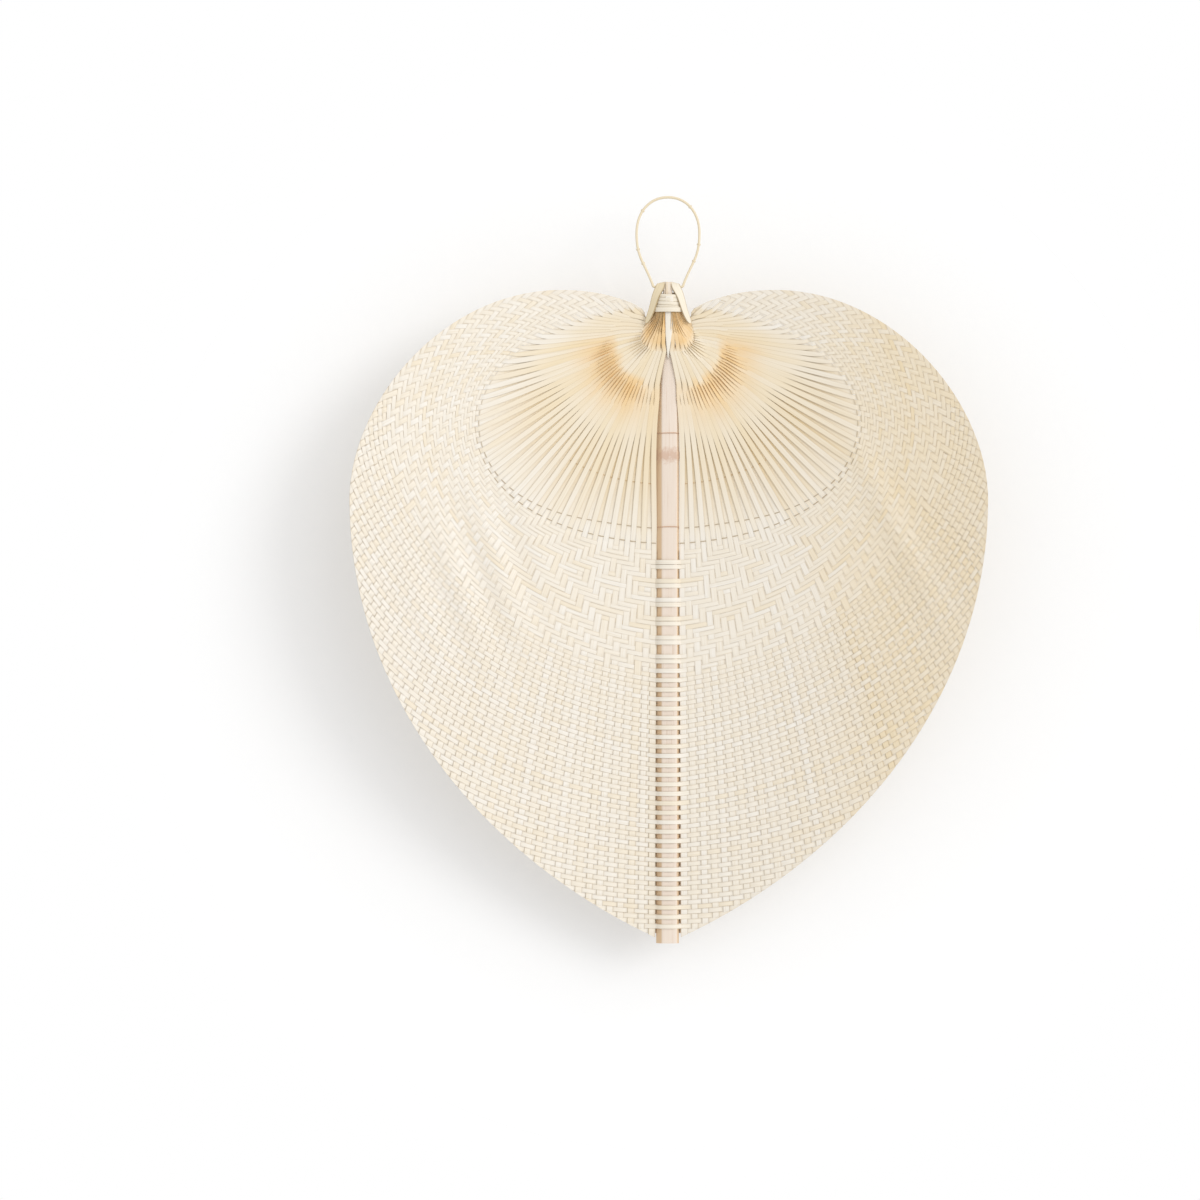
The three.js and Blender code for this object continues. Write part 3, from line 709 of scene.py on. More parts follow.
class StripMesh:
    """Collects strips and makes one mesh of them.

    A strip is a closed band: two front corners, a slightly crowned middle and two back corners at each station.
    Hundreds of strips that all bend round each other are beyond what can be modelled by hand, so they are computed.
    """

    crown = 0.05  # of the front above the corners
    map_shift = (7.3, 1000.0, 57.0)  # keeps two strips from showing the same fibres
    smooth_angle = math.radians(38)

    def __init__(self) -> None:
        """Starts empty."""
        self.vertices: list[np.ndarray] = []
        self.faces: list[tuple[int, ...]] = []
        self.uvs: list[np.ndarray] = []
        self.values: dict[str, list[np.ndarray]] = {"tone": [], "turn_shade": [], "skin": [], "edge": []}
        self.count = 0

    def add(self, path: StripPath) -> None:
        """Adds one strip.

        Args:
            path: Its run.
        """
        run = along(path.points)
        across = unit(np.cross(run, path.normals))
        face = unit(np.cross(across, run))
        half = (path.width / 2)[:, None] * across
        lift = path.thickness / 2 * face
        stations = len(path.points)
        left = path.points - half
        right = path.points + half
        for end, slant in zip((0, -1), path.end_slants):
            left[end] -= run[end] * slant / 2
            right[end] += run[end] * slant / 2
        middle = path.points + face * self.crown
        rows = np.stack([left + lift, middle + lift, right + lift, right - lift, left - lift], axis=1)
        corners = rows.shape[1]
        lengths = np.concatenate([[0.0], np.cumsum(np.linalg.norm(np.diff(path.points, axis=0), axis=1))])
        tone = np.broadcast_to(path.tone, stations)
        by_length, by_tone, aside = self.map_shift
        offset = float(lengths[-1] * by_length + tone[0] * by_tone)
        shares = np.array([0.0, 0.5, 1.0, 1.0, 0.0])
        u = np.repeat((lengths + offset)[:, None], corners, axis=1)
        v = shares[None, :] * path.width[:, None] + float(tone[0]) * aside
        self.vertices.append(rows.reshape(-1, 3))
        self.uvs.append(np.stack([u, v], axis=-1).reshape(-1, 2))
        left_line_strength, right_line_strength = (np.broadcast_to(strength, stations) for strength in path.skin)
        middle_line_strength = (left_line_strength + right_line_strength) / 2
        skin = np.stack([left_line_strength, middle_line_strength, right_line_strength, right_line_strength, left_line_strength], axis=1)
        inside = 1.0 if path.whole_face_line else 0.0
        self.values["tone"].append(np.repeat(tone, corners))
        self.values["turn_shade"].append(np.repeat(path.turn_shade, corners))
        self.values["skin"].append(skin.ravel())
        self.values["edge"].append(np.tile([1.0, inside, 1.0, 1.0, 1.0], stations))
        base = self.count
        for s in range(stations - 1):
            for k in range(corners):
                a = base + s * corners + k
                b = base + s * corners + (k + 1) % corners
                self.faces.append((a, b, b + corners, a + corners))
        last = base + (stations - 1) * corners
        self.faces.append(tuple(base + k for k in reversed(range(corners))))
        self.faces.append(tuple(last + k for k in range(corners)))
        self.count += stations * corners

    def to_object(self, name: str) -> Piece:
        """Makes the object.

        Args:
            name: The piece's name.

        Returns:
            A mesh object at the origin with its UV map and attributes.
        """
        mesh = bpy.data.meshes.new(name)
        vertices = np.concatenate(self.vertices) * MM
        mesh.from_pydata(vertices.tolist(), [], self.faces)
        uvs = np.concatenate(self.uvs)
        loops = np.empty(len(mesh.loops), dtype=np.int32)
        mesh.loops.foreach_get("vertex_index", loops)
        mesh.uv_layers.new(name="strip").data.foreach_set("uv", uvs[loops].ravel().astype(np.float32))
        for key, values in self.values.items():
            layer = mesh.attributes.new(key, "FLOAT", "POINT")
            layer.data.foreach_set("value", np.concatenate(values).astype(np.float32))
        mesh.update()
        piece = bpy.data.objects.new(name, mesh)
        bpy.context.collection.objects.link(piece)
        take_up(piece)
        bpy.ops.object.mode_set(mode="EDIT")
        bpy.ops.mesh.select_all(action="SELECT")
        bpy.ops.mesh.normals_make_consistent(inside=False)
        bpy.ops.object.mode_set(mode="OBJECT")
        bpy.ops.object.shade_smooth_by_angle(angle=self.smooth_angle)
        return piece


@dataclass
class NeckShape:
    """The gathered ribs in the neck: an ellipse that widens downwards."""

    foot_level: float = -42.0
    top_level: float = -44.4
    base_level: float = -54.35
    top_half_width: float = 4.5
    base_half_width: float = 6.7
    top_half_depth: float = 2.7
    base_half_depth: float = 4.5

    def halves(self, level: np.ndarray) -> tuple[np.ndarray, np.ndarray]:
        """Gives the half width and half depth at some levels."""
        t = (self.top_level - np.asarray(level, dtype=float)) / (self.top_level - self.base_level)
        return (
            self.top_half_width + t * (self.base_half_width - self.top_half_width),
            self.top_half_depth + t * (self.base_half_depth - self.top_half_depth),
        )


@dataclass
class OpenZone:
    """The ribs between the binding and the ring, on the right half, by rib and station."""

    places: np.ndarray  # (x, y, z)
    past: np.ndarray  # length past the lobe
    pitch: np.ndarray  # from a rib to the next one that shows


@dataclass
class Weaving:
    """The ribs and the wefts of the blade."""

    blade: Blade
    neck: NeckShape
    rib_width: float = 2.45  # in the open zone
    rib_cover: float = 0.92  # of the pitch that a rib's width takes up in the weave
    rib_range: Pair = (1.5, 3.2)  # least and greatest width there
    weft_cover: float = 0.96
    weft_range: Pair = (0.9, 2.35)
    thickness: float = 0.28
    wave: float = 0.22  # how far a strip bends forward or back at a crossing
    bold_rows: Pair = (22.0, 34.0)  # rows over which the relief and the lines grow stronger
    flat_share: float = 0.29  # half of the share of a crossing that stays flat
    lobe_stations: int = 6
    open_stations: int = 24
    crowding: float = 1.6  # a higher power puts more stations near the lobe
    lean: float = 0.12  # how far every second rib stands forward in the open zone
    overlap: float = 1.38  # shown width of a rib in the open zone, in pitches
    neck_share: float = 0.75  # of the rib's width that is left in the neck
    tail_span: Pair = (1.7, 6.2)  # first and last rib's place under the binding
    lobe_sheaf: int = 8  # ribs that hang behind each other in the lobe
    petal_sheaf: int = 4  # the same in the pale faces under it
    hold: float = 0.95  # how far the ribs of a sheaf or a pair draw together
    layer: float = 0.34  # step from a rib to the next one behind it
    lobe_layer: float = 0.2  # the same step in the lobe
    row_step: float = 0.75  # the same step inside the binding
    core_ribs: int = 4  # ribs whose tails show between the straps
    core_top: float = -39.7
    core_step: float = 0.9
    core_width: float = 1.25
    # Corner, bulge and top of the lobe that the ribs leave one after the other
    lobe: tuple[Pair, ...] = ((0.9, -72.5), (18.4, -73.4), (9.6, -57.0))
    lobe_rise: float = 1.6
    swing: float = 11.0  # degrees that the first ribs swing out before they run down
    straightening: float = 0.85  # how far the outer ribs head straight for the ring
    settling: float = 1.4  # a higher power brings the ribs down to the blade sooner
    petal: Pair = (17.0, 10.0)  # length of the pale faces past the lobe, of the first and last rib
    band: float = 28.0  # length of the painted golden band of shade past them
    # painted shade: the right half, which turns from the light, is made yellower far out
    right_shade_yellowing: float = 0.38
    right_shade_span: Pair = (48.0, 115.0)
    ribs_per_bundle: int = 7
    wefts_per_band: int = 6
    spine_half_depth: float = 2.3
    spine_gap: float = 0.12
    # A weft's way past the spine: distance from the middle, and share of the full reach forward or back
    over_spine: tuple[Pair, ...] = ((5.4, 0.3), (4.5, 0.65), (3.4, 0.93), (1.8, 1.05), (0.0, 1.08))
    behind_spine: tuple[Pair, ...] = ((6.0, 0.4), (5.85, 0.75), (5.3, 1.0), (3.0, 1.05), (0.0, 1.06))
    ring_strip: float = 0.48  # width of the ring's two rows
    ring_shade: float = 0.62  # how dark they are: a painted shadow line along the rows as well as their dark skin
    ring_fade: Pair = (-150.0, -36.0)  # levels between which they grow pale
    ring_reach: float = 0.934  # share of the open zone where the first of them passes
    ring_drift: Pair = (5.0, 34.0)  # ribs between which both rows move out towards the weave
    ring_outward: float = 1.35  # how many wefts the second of them moves
    rib_draw: Pair = (0.94, 1.04)  # a rib's own width, in full widths
    weft_draw: Pair = (0.95, 1.03)
    unevenness: float = 0.12  # how far a rib stands forward or back by itself near the lobe
    tone_draw: Pair = (0.13, 0.1)  # mean and spread
    edge_line_draw: Pair = (0.3, 0.55)
    strong_edge_line_draw: Pair = (0.5, 0.8)
    strong_share: float = 0.1  # of the strips that have one strong edge
    bold_range: Pair = (0.62, 0.48)  # least strength, and what the bold rows add
    turn_shade_draw: Pair = (0.5, 0.75)
    turn_shade_least: float = 0.35  # strength of the painted band of shade on the first ribs
    turn_shade_rise: Pair = (0.03, 0.2)  # shares of the ribs over which it grows
    turn_shade_fall: Pair = (0.6, 0.8)  # and fades
    root_end: Pair = (-0.7, 0.3)  # lengths past the lobe where the painted shade under the binding ends
    petal_draw: Pair = (0.9, 1.1)
    band_rise: Pair = (-1.0, 2.0)  # lengths past the petal over which the band grows
    band_hold: float = 5.0  # length past it where the band starts to fade
    # painted golden shade on the tails inside the binding
    tail_turn_shade: float = 0.2
    straw_petal: float = 0.42
    straw_front: float = 0.4
    straw_shade_behind: float = 0.75  # painted shade of every second rib, which lies behind the others
    straw_fade: float = 0.8
    straw_fall: Pair = (0.55, 0.95)  # shares of the way to the ring
    neck_margin: float = 0.6
    lobe_power: float = 1.5
    swing_power: int = 4  # a higher power leaves the swing to fewer ribs
    handles: Pair = (0.36, 0.34)  # of the way from lobe to ring
    straight_ribs: Pair = (0.05, 0.3)  # shares of the ribs over which they straighten
    lobe_end: Pair = (-1.5, 0.5)  # lengths past the lobe where its sheaves end
    sheaf_end: Pair = (-2.0, 5.0)  # lengths past the petal where its sheaves end
    petal_reach: Pair = (0.15, 0.6)  # shares of the way to the ring where they end at the latest
    petal_hold: float = 0.85
    pair_end: Pair = (0.5, 0.75)  # pitches, in half widths, where pairs part
    level_end: Pair = (0.8, 1.0)  # shares of the way where every second rib comes level
    least_shown: float = 0.08  # of a rib's width, where it stands on edge
    rim_lift: float = 0.6  # of the wave, where a strip ends
    open_line: float = 0.5  # strength of the edge lines in the open zone, skin and painted shade between the ribs
    outer_line: float = 0.5  # what the outer ribs add
    inner_line: float = 0.5  # what the first ribs add near the neck
    neck_line: float = 0.15  # what every rib adds there
    line_end: Pair = (-2.0, 6.0)  # lengths past the petal
    inner_ribs: Pair = (18.0, 42.0)
    outer_ribs: Pair = (48.0, 64.0)
    tail_gather: tuple[float, float, float] = (0.72, 0.62, 1.0)  # how far the tails draw together in the binding
    tail_height: float = 0.85  # of the binding
    core_gather: tuple[float, float, float] = (0.85, 0.95, 1.0)  # and above it
    rim_step: float = 0.004  # share of the rim over which its direction is taken
    least_sine: float = 0.35  # of the angle between a strip and the rim
    dice: random.Random = field(default_factory=lambda: random.Random(SEED))

    def build(self, finish: SplitBamboo) -> None:
        """Builds every bundle of ribs and every band of wefts.

        Args:
            finish: The strips' finish.
        """
        material = finish.material()
        for side in Side:
            self._build_ribs(side, material)
        self._build_wefts(material)

    def _band(self, past: np.ndarray, begin: float) -> np.ndarray:
        """Gives the strength of the painted golden band of shade at some lengths past the lobe."""
        rise = smooth_step(begin + self.band_rise[0], begin + self.band_rise[1], past)
        return rise * (1 - smooth_step(begin + self.band_hold, begin + self.band, past))

    def _turn_shade(self, past: np.ndarray, rib: int) -> np.ndarray:
        """Gives the painted golden shade of one rib in the neck and the open zone.

        It is strong where the ribs hang on edge under the binding and gone where their faces turn out. It is back in
        a band where they turn again.

        Args:
            past: Length past the lobe at each station.
            rib: The rib's number.

        Returns:
            A share from 0 to 1 at each station.
        """
        aside = np.array(rib / self.blade.strips)
        rise = float(smooth_step(*self.turn_shade_rise, aside))
        fall = float(smooth_step(*self.turn_shade_fall, aside))
        strength = (self.turn_shade_least + (1 - self.turn_shade_least) * rise) * (1 - fall)
        root = self.dice.uniform(*self.turn_shade_draw) * (1 - smooth_step(*self.root_end, past))
        begin = self._petal_end(rib) * self.dice.uniform(*self.petal_draw)
        return np.clip(root + self.dice.uniform(*self.turn_shade_draw) * strength * self._band(past, begin), 0, 1)

    def _straw(self, past: np.ndarray, rib: int) -> np.ndarray:
        """Gives how much yellower a rib is past its petal; on every second rib, which lies behind the others, the
        extra yellow is painted shade.
        """
        begin = float(self._petal_end(rib))
        fading = 1 - self.straw_fade * smooth_step(*self.straw_fall, past / past[-1])
        grown = smooth_step(begin, begin + self.band, past)
        # painted shade on the ribs that lie behind
        strength = self.straw_shade_behind if rib % 2 == 1 else self.straw_front
        return strength * fading * grown + self.straw_petal * (1 - grown)

    def _petal_end(self, rib: float | np.ndarray) -> float | np.ndarray:
        """Gives the length of a rib's pale face past the lobe."""
        first, last = self.petal
        return first + (last - first) * rib / self.blade.strips

    def _tone(self, x: np.ndarray) -> np.ndarray:
        """Draws the tone of one strip, from pale to straw, with painted shade that makes it yellower far out on the
        right half, which turns from the light.
        """
        own = self.dice.gauss(*self.tone_draw)
        return np.clip(own + self.right_shade_yellowing * smooth_step(*self.right_shade_span, x), 0, 1)

    def _boldness(self, rows: np.ndarray) -> np.ndarray:
        """Gives the strength of the relief and lines at some rows: faint in the twill, bold in the plain weave."""
        least, added = self.bold_range
        return least + added * smooth_step(*self.bold_rows, rows)

    def _edge_line_strengths(self) -> Pair:
        """Draws the strength of the tan lines on a strip's two edges, skin and painted shade of the gaps, which is
        strong on one edge of about one strip in ten.
        """
        faint = self.dice.uniform(*self.edge_line_draw)
        strong = self.dice.uniform(*self.strong_edge_line_draw) if self.dice.random() < self.strong_share else faint
        return faint, strong

    def run_shares(self) -> tuple[np.ndarray, np.ndarray]:
        """Gives each station's share of the lobe and of the open zone past it."""
        down = np.concatenate([np.linspace(0, 1, self.lobe_stations), np.ones(self.open_stations)])
        steps = np.linspace(0, 1, self.open_stations + 1)[1:]
        out = np.concatenate([np.zeros(self.lobe_stations), steps**self.crowding])
        return down, out

    def _route(self, ribs: np.ndarray) -> np.ndarray:
        """Gives places between the binding and the ring, on the right half.

        A rib hangs down from the binding in a lobe, leaves it and runs out to the ring.

        Args:
            ribs: The rib's number at each station, which need not be whole. One row for each rib.

        Returns:
            An array of rib, station and (x, y, z).
        """
        down, out = self.run_shares()
        share = (ribs + 0.5) / self.blade.strips
        first, last = self.tail_span
        a, b = self.neck.halves(self.neck.base_level)
        base_x = first + (last - first) * share
        envelope = b * np.sqrt(np.clip(1 - (base_x / (a + self.neck_margin)) ** 2, 0.05, 1))
        base_y = self.neck_share * self.rib_width / 2 - envelope
        corner, bulge, top = (np.array(p) for p in self.lobe)
        s = share[..., None]
        lobe = (1 - s) ** 2 * corner + 2 * (1 - s) * s * bulge + s**2 * top
        lead_x = base_x + (lobe[..., 0] - base_x) * down**self.lobe_power
        lead_y = base_y + self.lobe_rise * share * down
        lead_z = self.neck.base_level + (lobe[..., 1] - self.neck.base_level) * down

        ring_flat = self.blade.place(ribs + 0.5, 0.0)
        ring_run = unit(self.blade.place(ribs + 0.5, 1.5) - ring_flat)
        chord = ring_flat - lobe
        reach = np.linalg.norm(chord, axis=-1, keepdims=True)
        swing = np.radians(self.swing) * (1 - share) ** self.swing_power
        swung_x = chord[..., 0] * np.cos(swing) - chord[..., 1] * np.sin(swing)
        swung_z = chord[..., 0] * np.sin(swing) + chord[..., 1] * np.cos(swing)
        near = lobe + self.handles[0] * np.stack([swung_x, swung_z], axis=-1)
        straight = self.straightening * smooth_step(*self.straight_ribs, share)[..., None]
        far = ring_flat - self.handles[1] * reach * unit(ring_run + (chord / reach - ring_run) * straight)
        t = out[:, None]
        flat = (1 - t) ** 3 * lobe + 3 * (1 - t) ** 2 * t * near + 3 * (1 - t) * t**2 * far + t**3 * ring_flat
        y = self.blade.depth(flat[..., 0], flat[..., 1]) + lead_y * (1 - out) ** self.settling
        free = np.stack([flat[..., 0], y, flat[..., 1]], axis=-1)
        return np.where((out > 0)[:, None], free, np.stack([lead_x, lead_y, lead_z], axis=-1))

    def open_zone(self) -> OpenZone:
        """Works out every rib's run from the binding to the ring, on the right half.

        The ribs hang in sheaves in the lobe, leave it in smaller ones, and every second rib comes to lie behind the
        gap between two others on the way to the ring.

        Returns:
            The ribs' places, lengths and pitches.
        """
        down, out = self.run_shares()
        whole = np.arange(self.blade.strips)[:, None]
        ribs = np.repeat(whole.astype(float), len(out), axis=1)
        plain = self._route(ribs)
        lengths = np.cumsum(np.linalg.norm(np.diff(plain, axis=1), axis=2), axis=1)
        lengths = np.concatenate([np.zeros((len(ribs), 1)), lengths], axis=1)
        past = lengths - lengths[:, self.lobe_stations - 1 : self.lobe_stations]
        further = past - self._petal_end(whole)
        pitch = np.linalg.norm(np.diff(plain[..., [0, 2]], axis=0), axis=2)
        pitch = np.concatenate([pitch, pitch[-1:]])
        lobe = 1 - smooth_step(*self.lobe_end, past)
        petal = 1 - smooth_step(*self.sheaf_end, further)
        petal = (1 - lobe) * petal * (1 - smooth_step(*self.petal_reach, out))
        free = 1 - lobe - petal
        pair = free * (1 - smooth_step(*self.pair_end, 2 * pitch / self.rib_width))
        lobe_rank = whole % self.lobe_sheaf
        petal_rank = whole % self.petal_sheaf
        mate = whole % 2
        shift = lobe * ((self.lobe_sheaf - 1) / 2 - lobe_rank)
        shift = shift + self.petal_hold * petal * ((self.petal_sheaf - 1) / 2 - petal_rank) + pair * (0.5 - mate)
        places = self._route(ribs + self.hold * shift)
        nearing = 1 - smooth_step(*self.level_end, out)
        places[..., 1] += lobe_rank * lobe * (self.lobe_layer + (self.row_step - self.lobe_layer) * (1 - down))
        places[..., 1] += self.layer * (petal_rank * petal + mate * free * nearing)
        abreast = self.lobe_sheaf * lobe + self.petal_sheaf * petal + 2 * free
        return OpenZone(places, past, pitch * abreast)

    def _stations(self, crossings: int) -> np.ndarray:
        """Gives both ends of the flat part of each crossing along a strip, and where the strip ends."""
        middles = np.arange(crossings) + 0.5
        flat = np.stack([middles - self.flat_share, middles + self.flat_share], axis=-1)
        return np.append(flat.ravel(), crossings + 0.5)

    def _rib(self, rib: int, side: Side, zone: OpenZone) -> StripPath:
        """Works out the run of one rib.

        Args:
            rib: Its number from the spine.
            side: Its half of the blade.
            zone: Every rib's run through the open zone.

        Returns:
            The strip's path.
        """
        _, shares = self.run_shares()
        full_width = self.rib_width * self.dice.uniform(*self.rib_draw)
        widening = smooth_step(0.0, float(self._petal_end(rib)), zone.past[rib])
        open_width = full_width * (self.neck_share + (1 - self.neck_share) * widening)
        turn = np.arccos(np.clip(self.overlap * zone.pitch[rib] / open_width, self.least_shown, 1))
        forward = 1 if rib % 2 == 0 else -1
        lift = forward * (self.lean * np.sin(np.pi * shares) + self.wave * shares**3)
        lift = lift + (1 - shares) ** 2 * self.dice.uniform(-self.unevenness, self.unevenness)
        open_points = zone.places[rib] * [side.value, 1, 1]
        front = np.tile([0.0, -1.0, 0.0], (len(shares), 1))
        _, ring_normal = self.blade.on_surface(self.blade.place([rib + 0.5], [0.0]), side)
        front = unit(front + (ring_normal - front) * shares[:, None])
        across = -unit(np.cross(along(open_points), front))
        open_normals = np.cos(turn)[:, None] * front + np.sin(turn)[:, None] * across
        open_points = open_points + front * lift[:, None]
        tail = self._tail(open_points[0], rib)
        # painted golden shade: on the tail, then where the rib stands on edge and turns
        turn_shade = np.concatenate([[self.tail_turn_shade] * len(tail), self._turn_shade(zone.past[rib], rib)[:-1]])

        wefts = self.blade.strips - 1 - rib
        on_top = np.array([self.blade.weft_on_top(rib, max(weft, 1)) for weft in range(wefts)], dtype=bool)
        offsets = np.where(on_top, -self.wave, self.wave)
        drift = float(self._drift(rib))
        offsets[1:2] = offsets[:1] * drift
        offsets[:1] *= 1 - 2 * drift
        rows = self._stations(wefts)
        bold = self._boldness(rows)
        lifts = np.append(np.repeat(offsets, 2), -self.rim_lift * self.wave) * bold
        woven, woven_normals = self.blade.on_surface(self.blade.place(rib + 0.5, rows), side)
        woven = woven + woven_normals * lifts[:, None]
        rib_pitch, _ = self.blade.pitches(rib + 0.5, rows)
        woven_width = np.clip(self.rib_cover * rib_pitch, *self.rib_range) * full_width / self.rib_width

        points = np.concatenate([tail, open_points[:-1], woven])
        tail_normals = (front if rib < self.core_ribs else open_normals)[:1].repeat(len(tail), axis=0)
        normals = np.concatenate([tail_normals, open_normals[:-1], woven_normals])
        turn_shade = np.concatenate([turn_shade, np.zeros(len(woven))])
        narrow = np.full(len(tail), self.core_width if rib < self.core_ribs else open_width[0])
        width = np.concatenate([narrow, open_width[:-1], woven_width])
        straw = np.concatenate([np.zeros(len(tail)), self._straw(zone.past[rib], rib)[:-1], np.zeros(len(woven))])
        # painted shade lines along the rib's edges, stronger near the neck and on the outer ribs
        near_neck = 1 - smooth_step(*self.line_end, zone.past[rib] - self._petal_end(rib))
        inner = self.inner_line * (1 - float(smooth_step(*self.inner_ribs, np.array(rib))))
        outer = self.outer_line * float(smooth_step(*self.outer_ribs, np.array(rib)))
        open_lines = self.open_line + outer + (inner + self.neck_line) * near_neck
        lines = np.concatenate([np.ones(len(tail)), open_lines[:-1], bold])
        skin = tuple(np.clip(strength * lines, 0, 1) for strength in self._edge_line_strengths())
        return StripPath(
            points,
            normals,
            width,
            self.thickness,
            np.clip(self._tone(points[:, 0]) + straw, 0, 1),
            turn_shade,
            skin,
            end_slants=(0.0, self._rim_slant(points, side, rib + 0.5, float(width[-1]))),
        )

    def _tail(self, base: np.ndarray, rib: int) -> np.ndarray:
        """Gives a rib's tail up through the binding, and past it between the straps for the foremost ribs.

        Args:
            base: Where the rib leaves the binding.
            rib: Its number.

        Returns:
            The tail's points, from the top down.
        """
        height = self.neck.top_level - self.neck.base_level
        inside = base * self.tail_gather + [0, 0, self.tail_height * height]
        if rib >= self.core_ribs:
            return inside[None]
        inside[0] = math.copysign((0.5 + rib % 2) * self.core_step, base[0])
        top = inside * self.core_gather
        top[2] = self.core_top
        return np.stack([top, inside])

    def _rim_slant(self, points: np.ndarray, side: Side, rib: float, width: float) -> float:
        """Gives how far a strip's right edge runs ahead of its left, so that its end lies along the rim.

        Args:
            points: The strip's middle line, ending at the rim.
            side: Its half of the blade.
            rib: The rim's share there, counted in ribs.
            width: The strip's width.

        Returns:
            The slant in millimetres.
        """
        share = rib / self.blade.strips
        ends = self.blade.on_rim(np.array([share - self.rim_step, share + self.rim_step]))
        rim_run = (ends[1] - ends[0]) * [side.value, 1]
        run = (points[-1] - points[-3])[[0, 2]]
        run = run / np.linalg.norm(run)
        rim_run = rim_run / np.linalg.norm(rim_run)
        right = np.array([run[1], -run[0]])
        sideways = float(rim_run @ right)
        if abs(sideways) < self.least_sine:
            sideways = math.copysign(self.least_sine, sideways)
        return float(rim_run @ run) / sideways * width

    def _build_ribs(self, side: Side, material: Material) -> None:
        """Builds the bundles of ribs of one half."""
        zone = self.open_zone()
        word = side.name.lower()
        for bundle in range(self.blade.strips // self.ribs_per_bundle):
            mesh = StripMesh()
            for rib in range(bundle * self.ribs_per_bundle, (bundle + 1) * self.ribs_per_bundle):
                mesh.add(self._rib(rib, side, zone))
            number = f"{bundle + 1:02d}"
            piece = mesh.to_object(f"{word}_rib_strips_{number}")
            hand_over(piece, FAN_BODY, [f"{word}_rib_bundle_{number}"], material)

    def _drift(self, rib: np.ndarray | float) -> np.ndarray:
        """Gives how far the ring's rows have moved out at some ribs, from 0 to 1."""
        return smooth_step(*self.ring_drift, np.asarray(rib, dtype=float))

    def _weft_half(self, weft: int, side: Side) -> tuple[np.ndarray, np.ndarray, np.ndarray]:
        """Works out one half of a weft.

        The second row of the ring starts where the lattice begins and moves out into a place left open for it.

        Args:
            weft: Its number from the ring.
            side: The half of the blade.

        Returns:
            Points, normals and widths, from the spine's side to the rim.
        """
        strips = self.blade.strips
        slot = weft if weft >= self.blade.ring_wefts else 0
        ribs = strips - 1 - slot
        on_top = np.array([self.blade.weft_on_top(rib, weft) for rib in range(ribs)], dtype=bool)
        offsets = np.where(on_top, self.wave, -self.wave)
        columns = self._stations(ribs)
        lifts = np.append(np.repeat(offsets, 2), self.rim_lift * self.wave) * self._boldness(slot)
        rows = np.full(len(columns), slot + 0.5)
        _, weft_pitch = self.blade.pitches(columns, rows)
        width = np.clip(self.weft_cover * weft_pitch, *self.weft_range)
        if weft < self.blade.ring_wefts:
            rows = np.minimum(rows + self.ring_outward * self._drift(columns), strips - columns)
            width = np.full(len(columns), self.ring_strip)
        points, normals = self.blade.on_surface(self.blade.place(columns, rows), side)
        return points + normals * lifts[:, None], normals, width

    def _inner_row_half(self, zone: OpenZone, side: Side) -> tuple[np.ndarray, np.ndarray, np.ndarray]:
        """Works out one half of the ring's first row, from inside the ring out to the weave's edge.

        Args:
            zone: Every rib's run through the open zone.
            side: The half of the blade.

        Returns:
            Points, normals and widths, from the spine's side to the cleft.
        """
        _, shares = self.run_shares()
        ribs = np.arange(self.blade.strips - 1)
        points = np.array(
            [[np.interp(self.ring_reach, shares, zone.places[rib][:, k]) for k in range(3)] for rib in ribs]
        )
        drift = self._drift(ribs)
        edge, _ = self.blade.on_surface(self.blade.place(ribs + 0.5, 0.5), side)
        points = points * [side.value, 1, 1]
        points = points + (edge - points) * drift[:, None]
        forward = np.where(ribs % 2 == 1, (0.5 + 0.5 * drift) * self.wave, -self.wave)
        _, normals = self.blade.on_surface(points[:, [0, 2]] * [side.value, 1], side)
        return points + normals * forward[:, None], normals, np.full(len(points), self.ring_strip)

    def _past_spine(self, weft: int, level: float) -> np.ndarray:
        """Gives a weft's points past the spine, from left to right."""
        in_front = self.blade.in_front_of_spine(weft)
        reach = self.spine_half_depth + self.spine_gap + self.thickness / 2
        shares = self.over_spine if in_front else self.behind_spine
        half = [(x, (-1 if in_front else 1) * reach * share, level) for x, share in shares]
        return np.array([(-x, y, z) for x, y, z in half] + half[-2::-1])

    def _weft(self, weft: int, zone: OpenZone) -> StripPath:
        """Works out the run of one weft, from the left rim past the spine to the right rim.

        Args:
            weft: Its number from the ring.
            zone: Every rib's run through the open zone.

        Returns:
            The strip's path.
        """
        halves = [
            self._inner_row_half(zone, side) if weft == 0 else self._weft_half(weft, side)
            for side in (Side.LEFT, Side.RIGHT)
        ]
        (left, left_normals, left_width), (right, right_normals, right_width) = halves
        over = self._past_spine(weft, float(left[0, 2]))
        front = np.tile([0.0, -1.0, 0.0], (len(over), 1))
        points = np.concatenate([left[::-1], over, right])
        normals = np.concatenate([left_normals[::-1], front, right_normals])
        width = np.concatenate([left_width[::-1], np.full(len(over), left_width[0]), right_width])
        width = width * self.dice.uniform(*self.weft_draw)
        plain = np.zeros(len(points))
        tone = self._tone(points[:, 0])
        skin = tuple(float(strength * self._boldness(weft)) for strength in self._edge_line_strengths())
        if weft < self.blade.ring_wefts:
            # painted shadow line over the ring's rows, darker towards the bottom
            shown = self.ring_shade * (1 - smooth_step(*self.ring_fade, points[:, 2]))
            return StripPath(points, normals, width, self.thickness, tone, plain, (shown, shown), True)
        rim_rib = self.blade.strips - weft - 0.5
        slants = (
            self._rim_slant(left, Side.LEFT, rim_rib, float(width[0])),
            self._rim_slant(right, Side.RIGHT, rim_rib, float(width[-1])),
        )
        return StripPath(points, normals, width, self.thickness, tone, plain, skin, end_slants=slants)

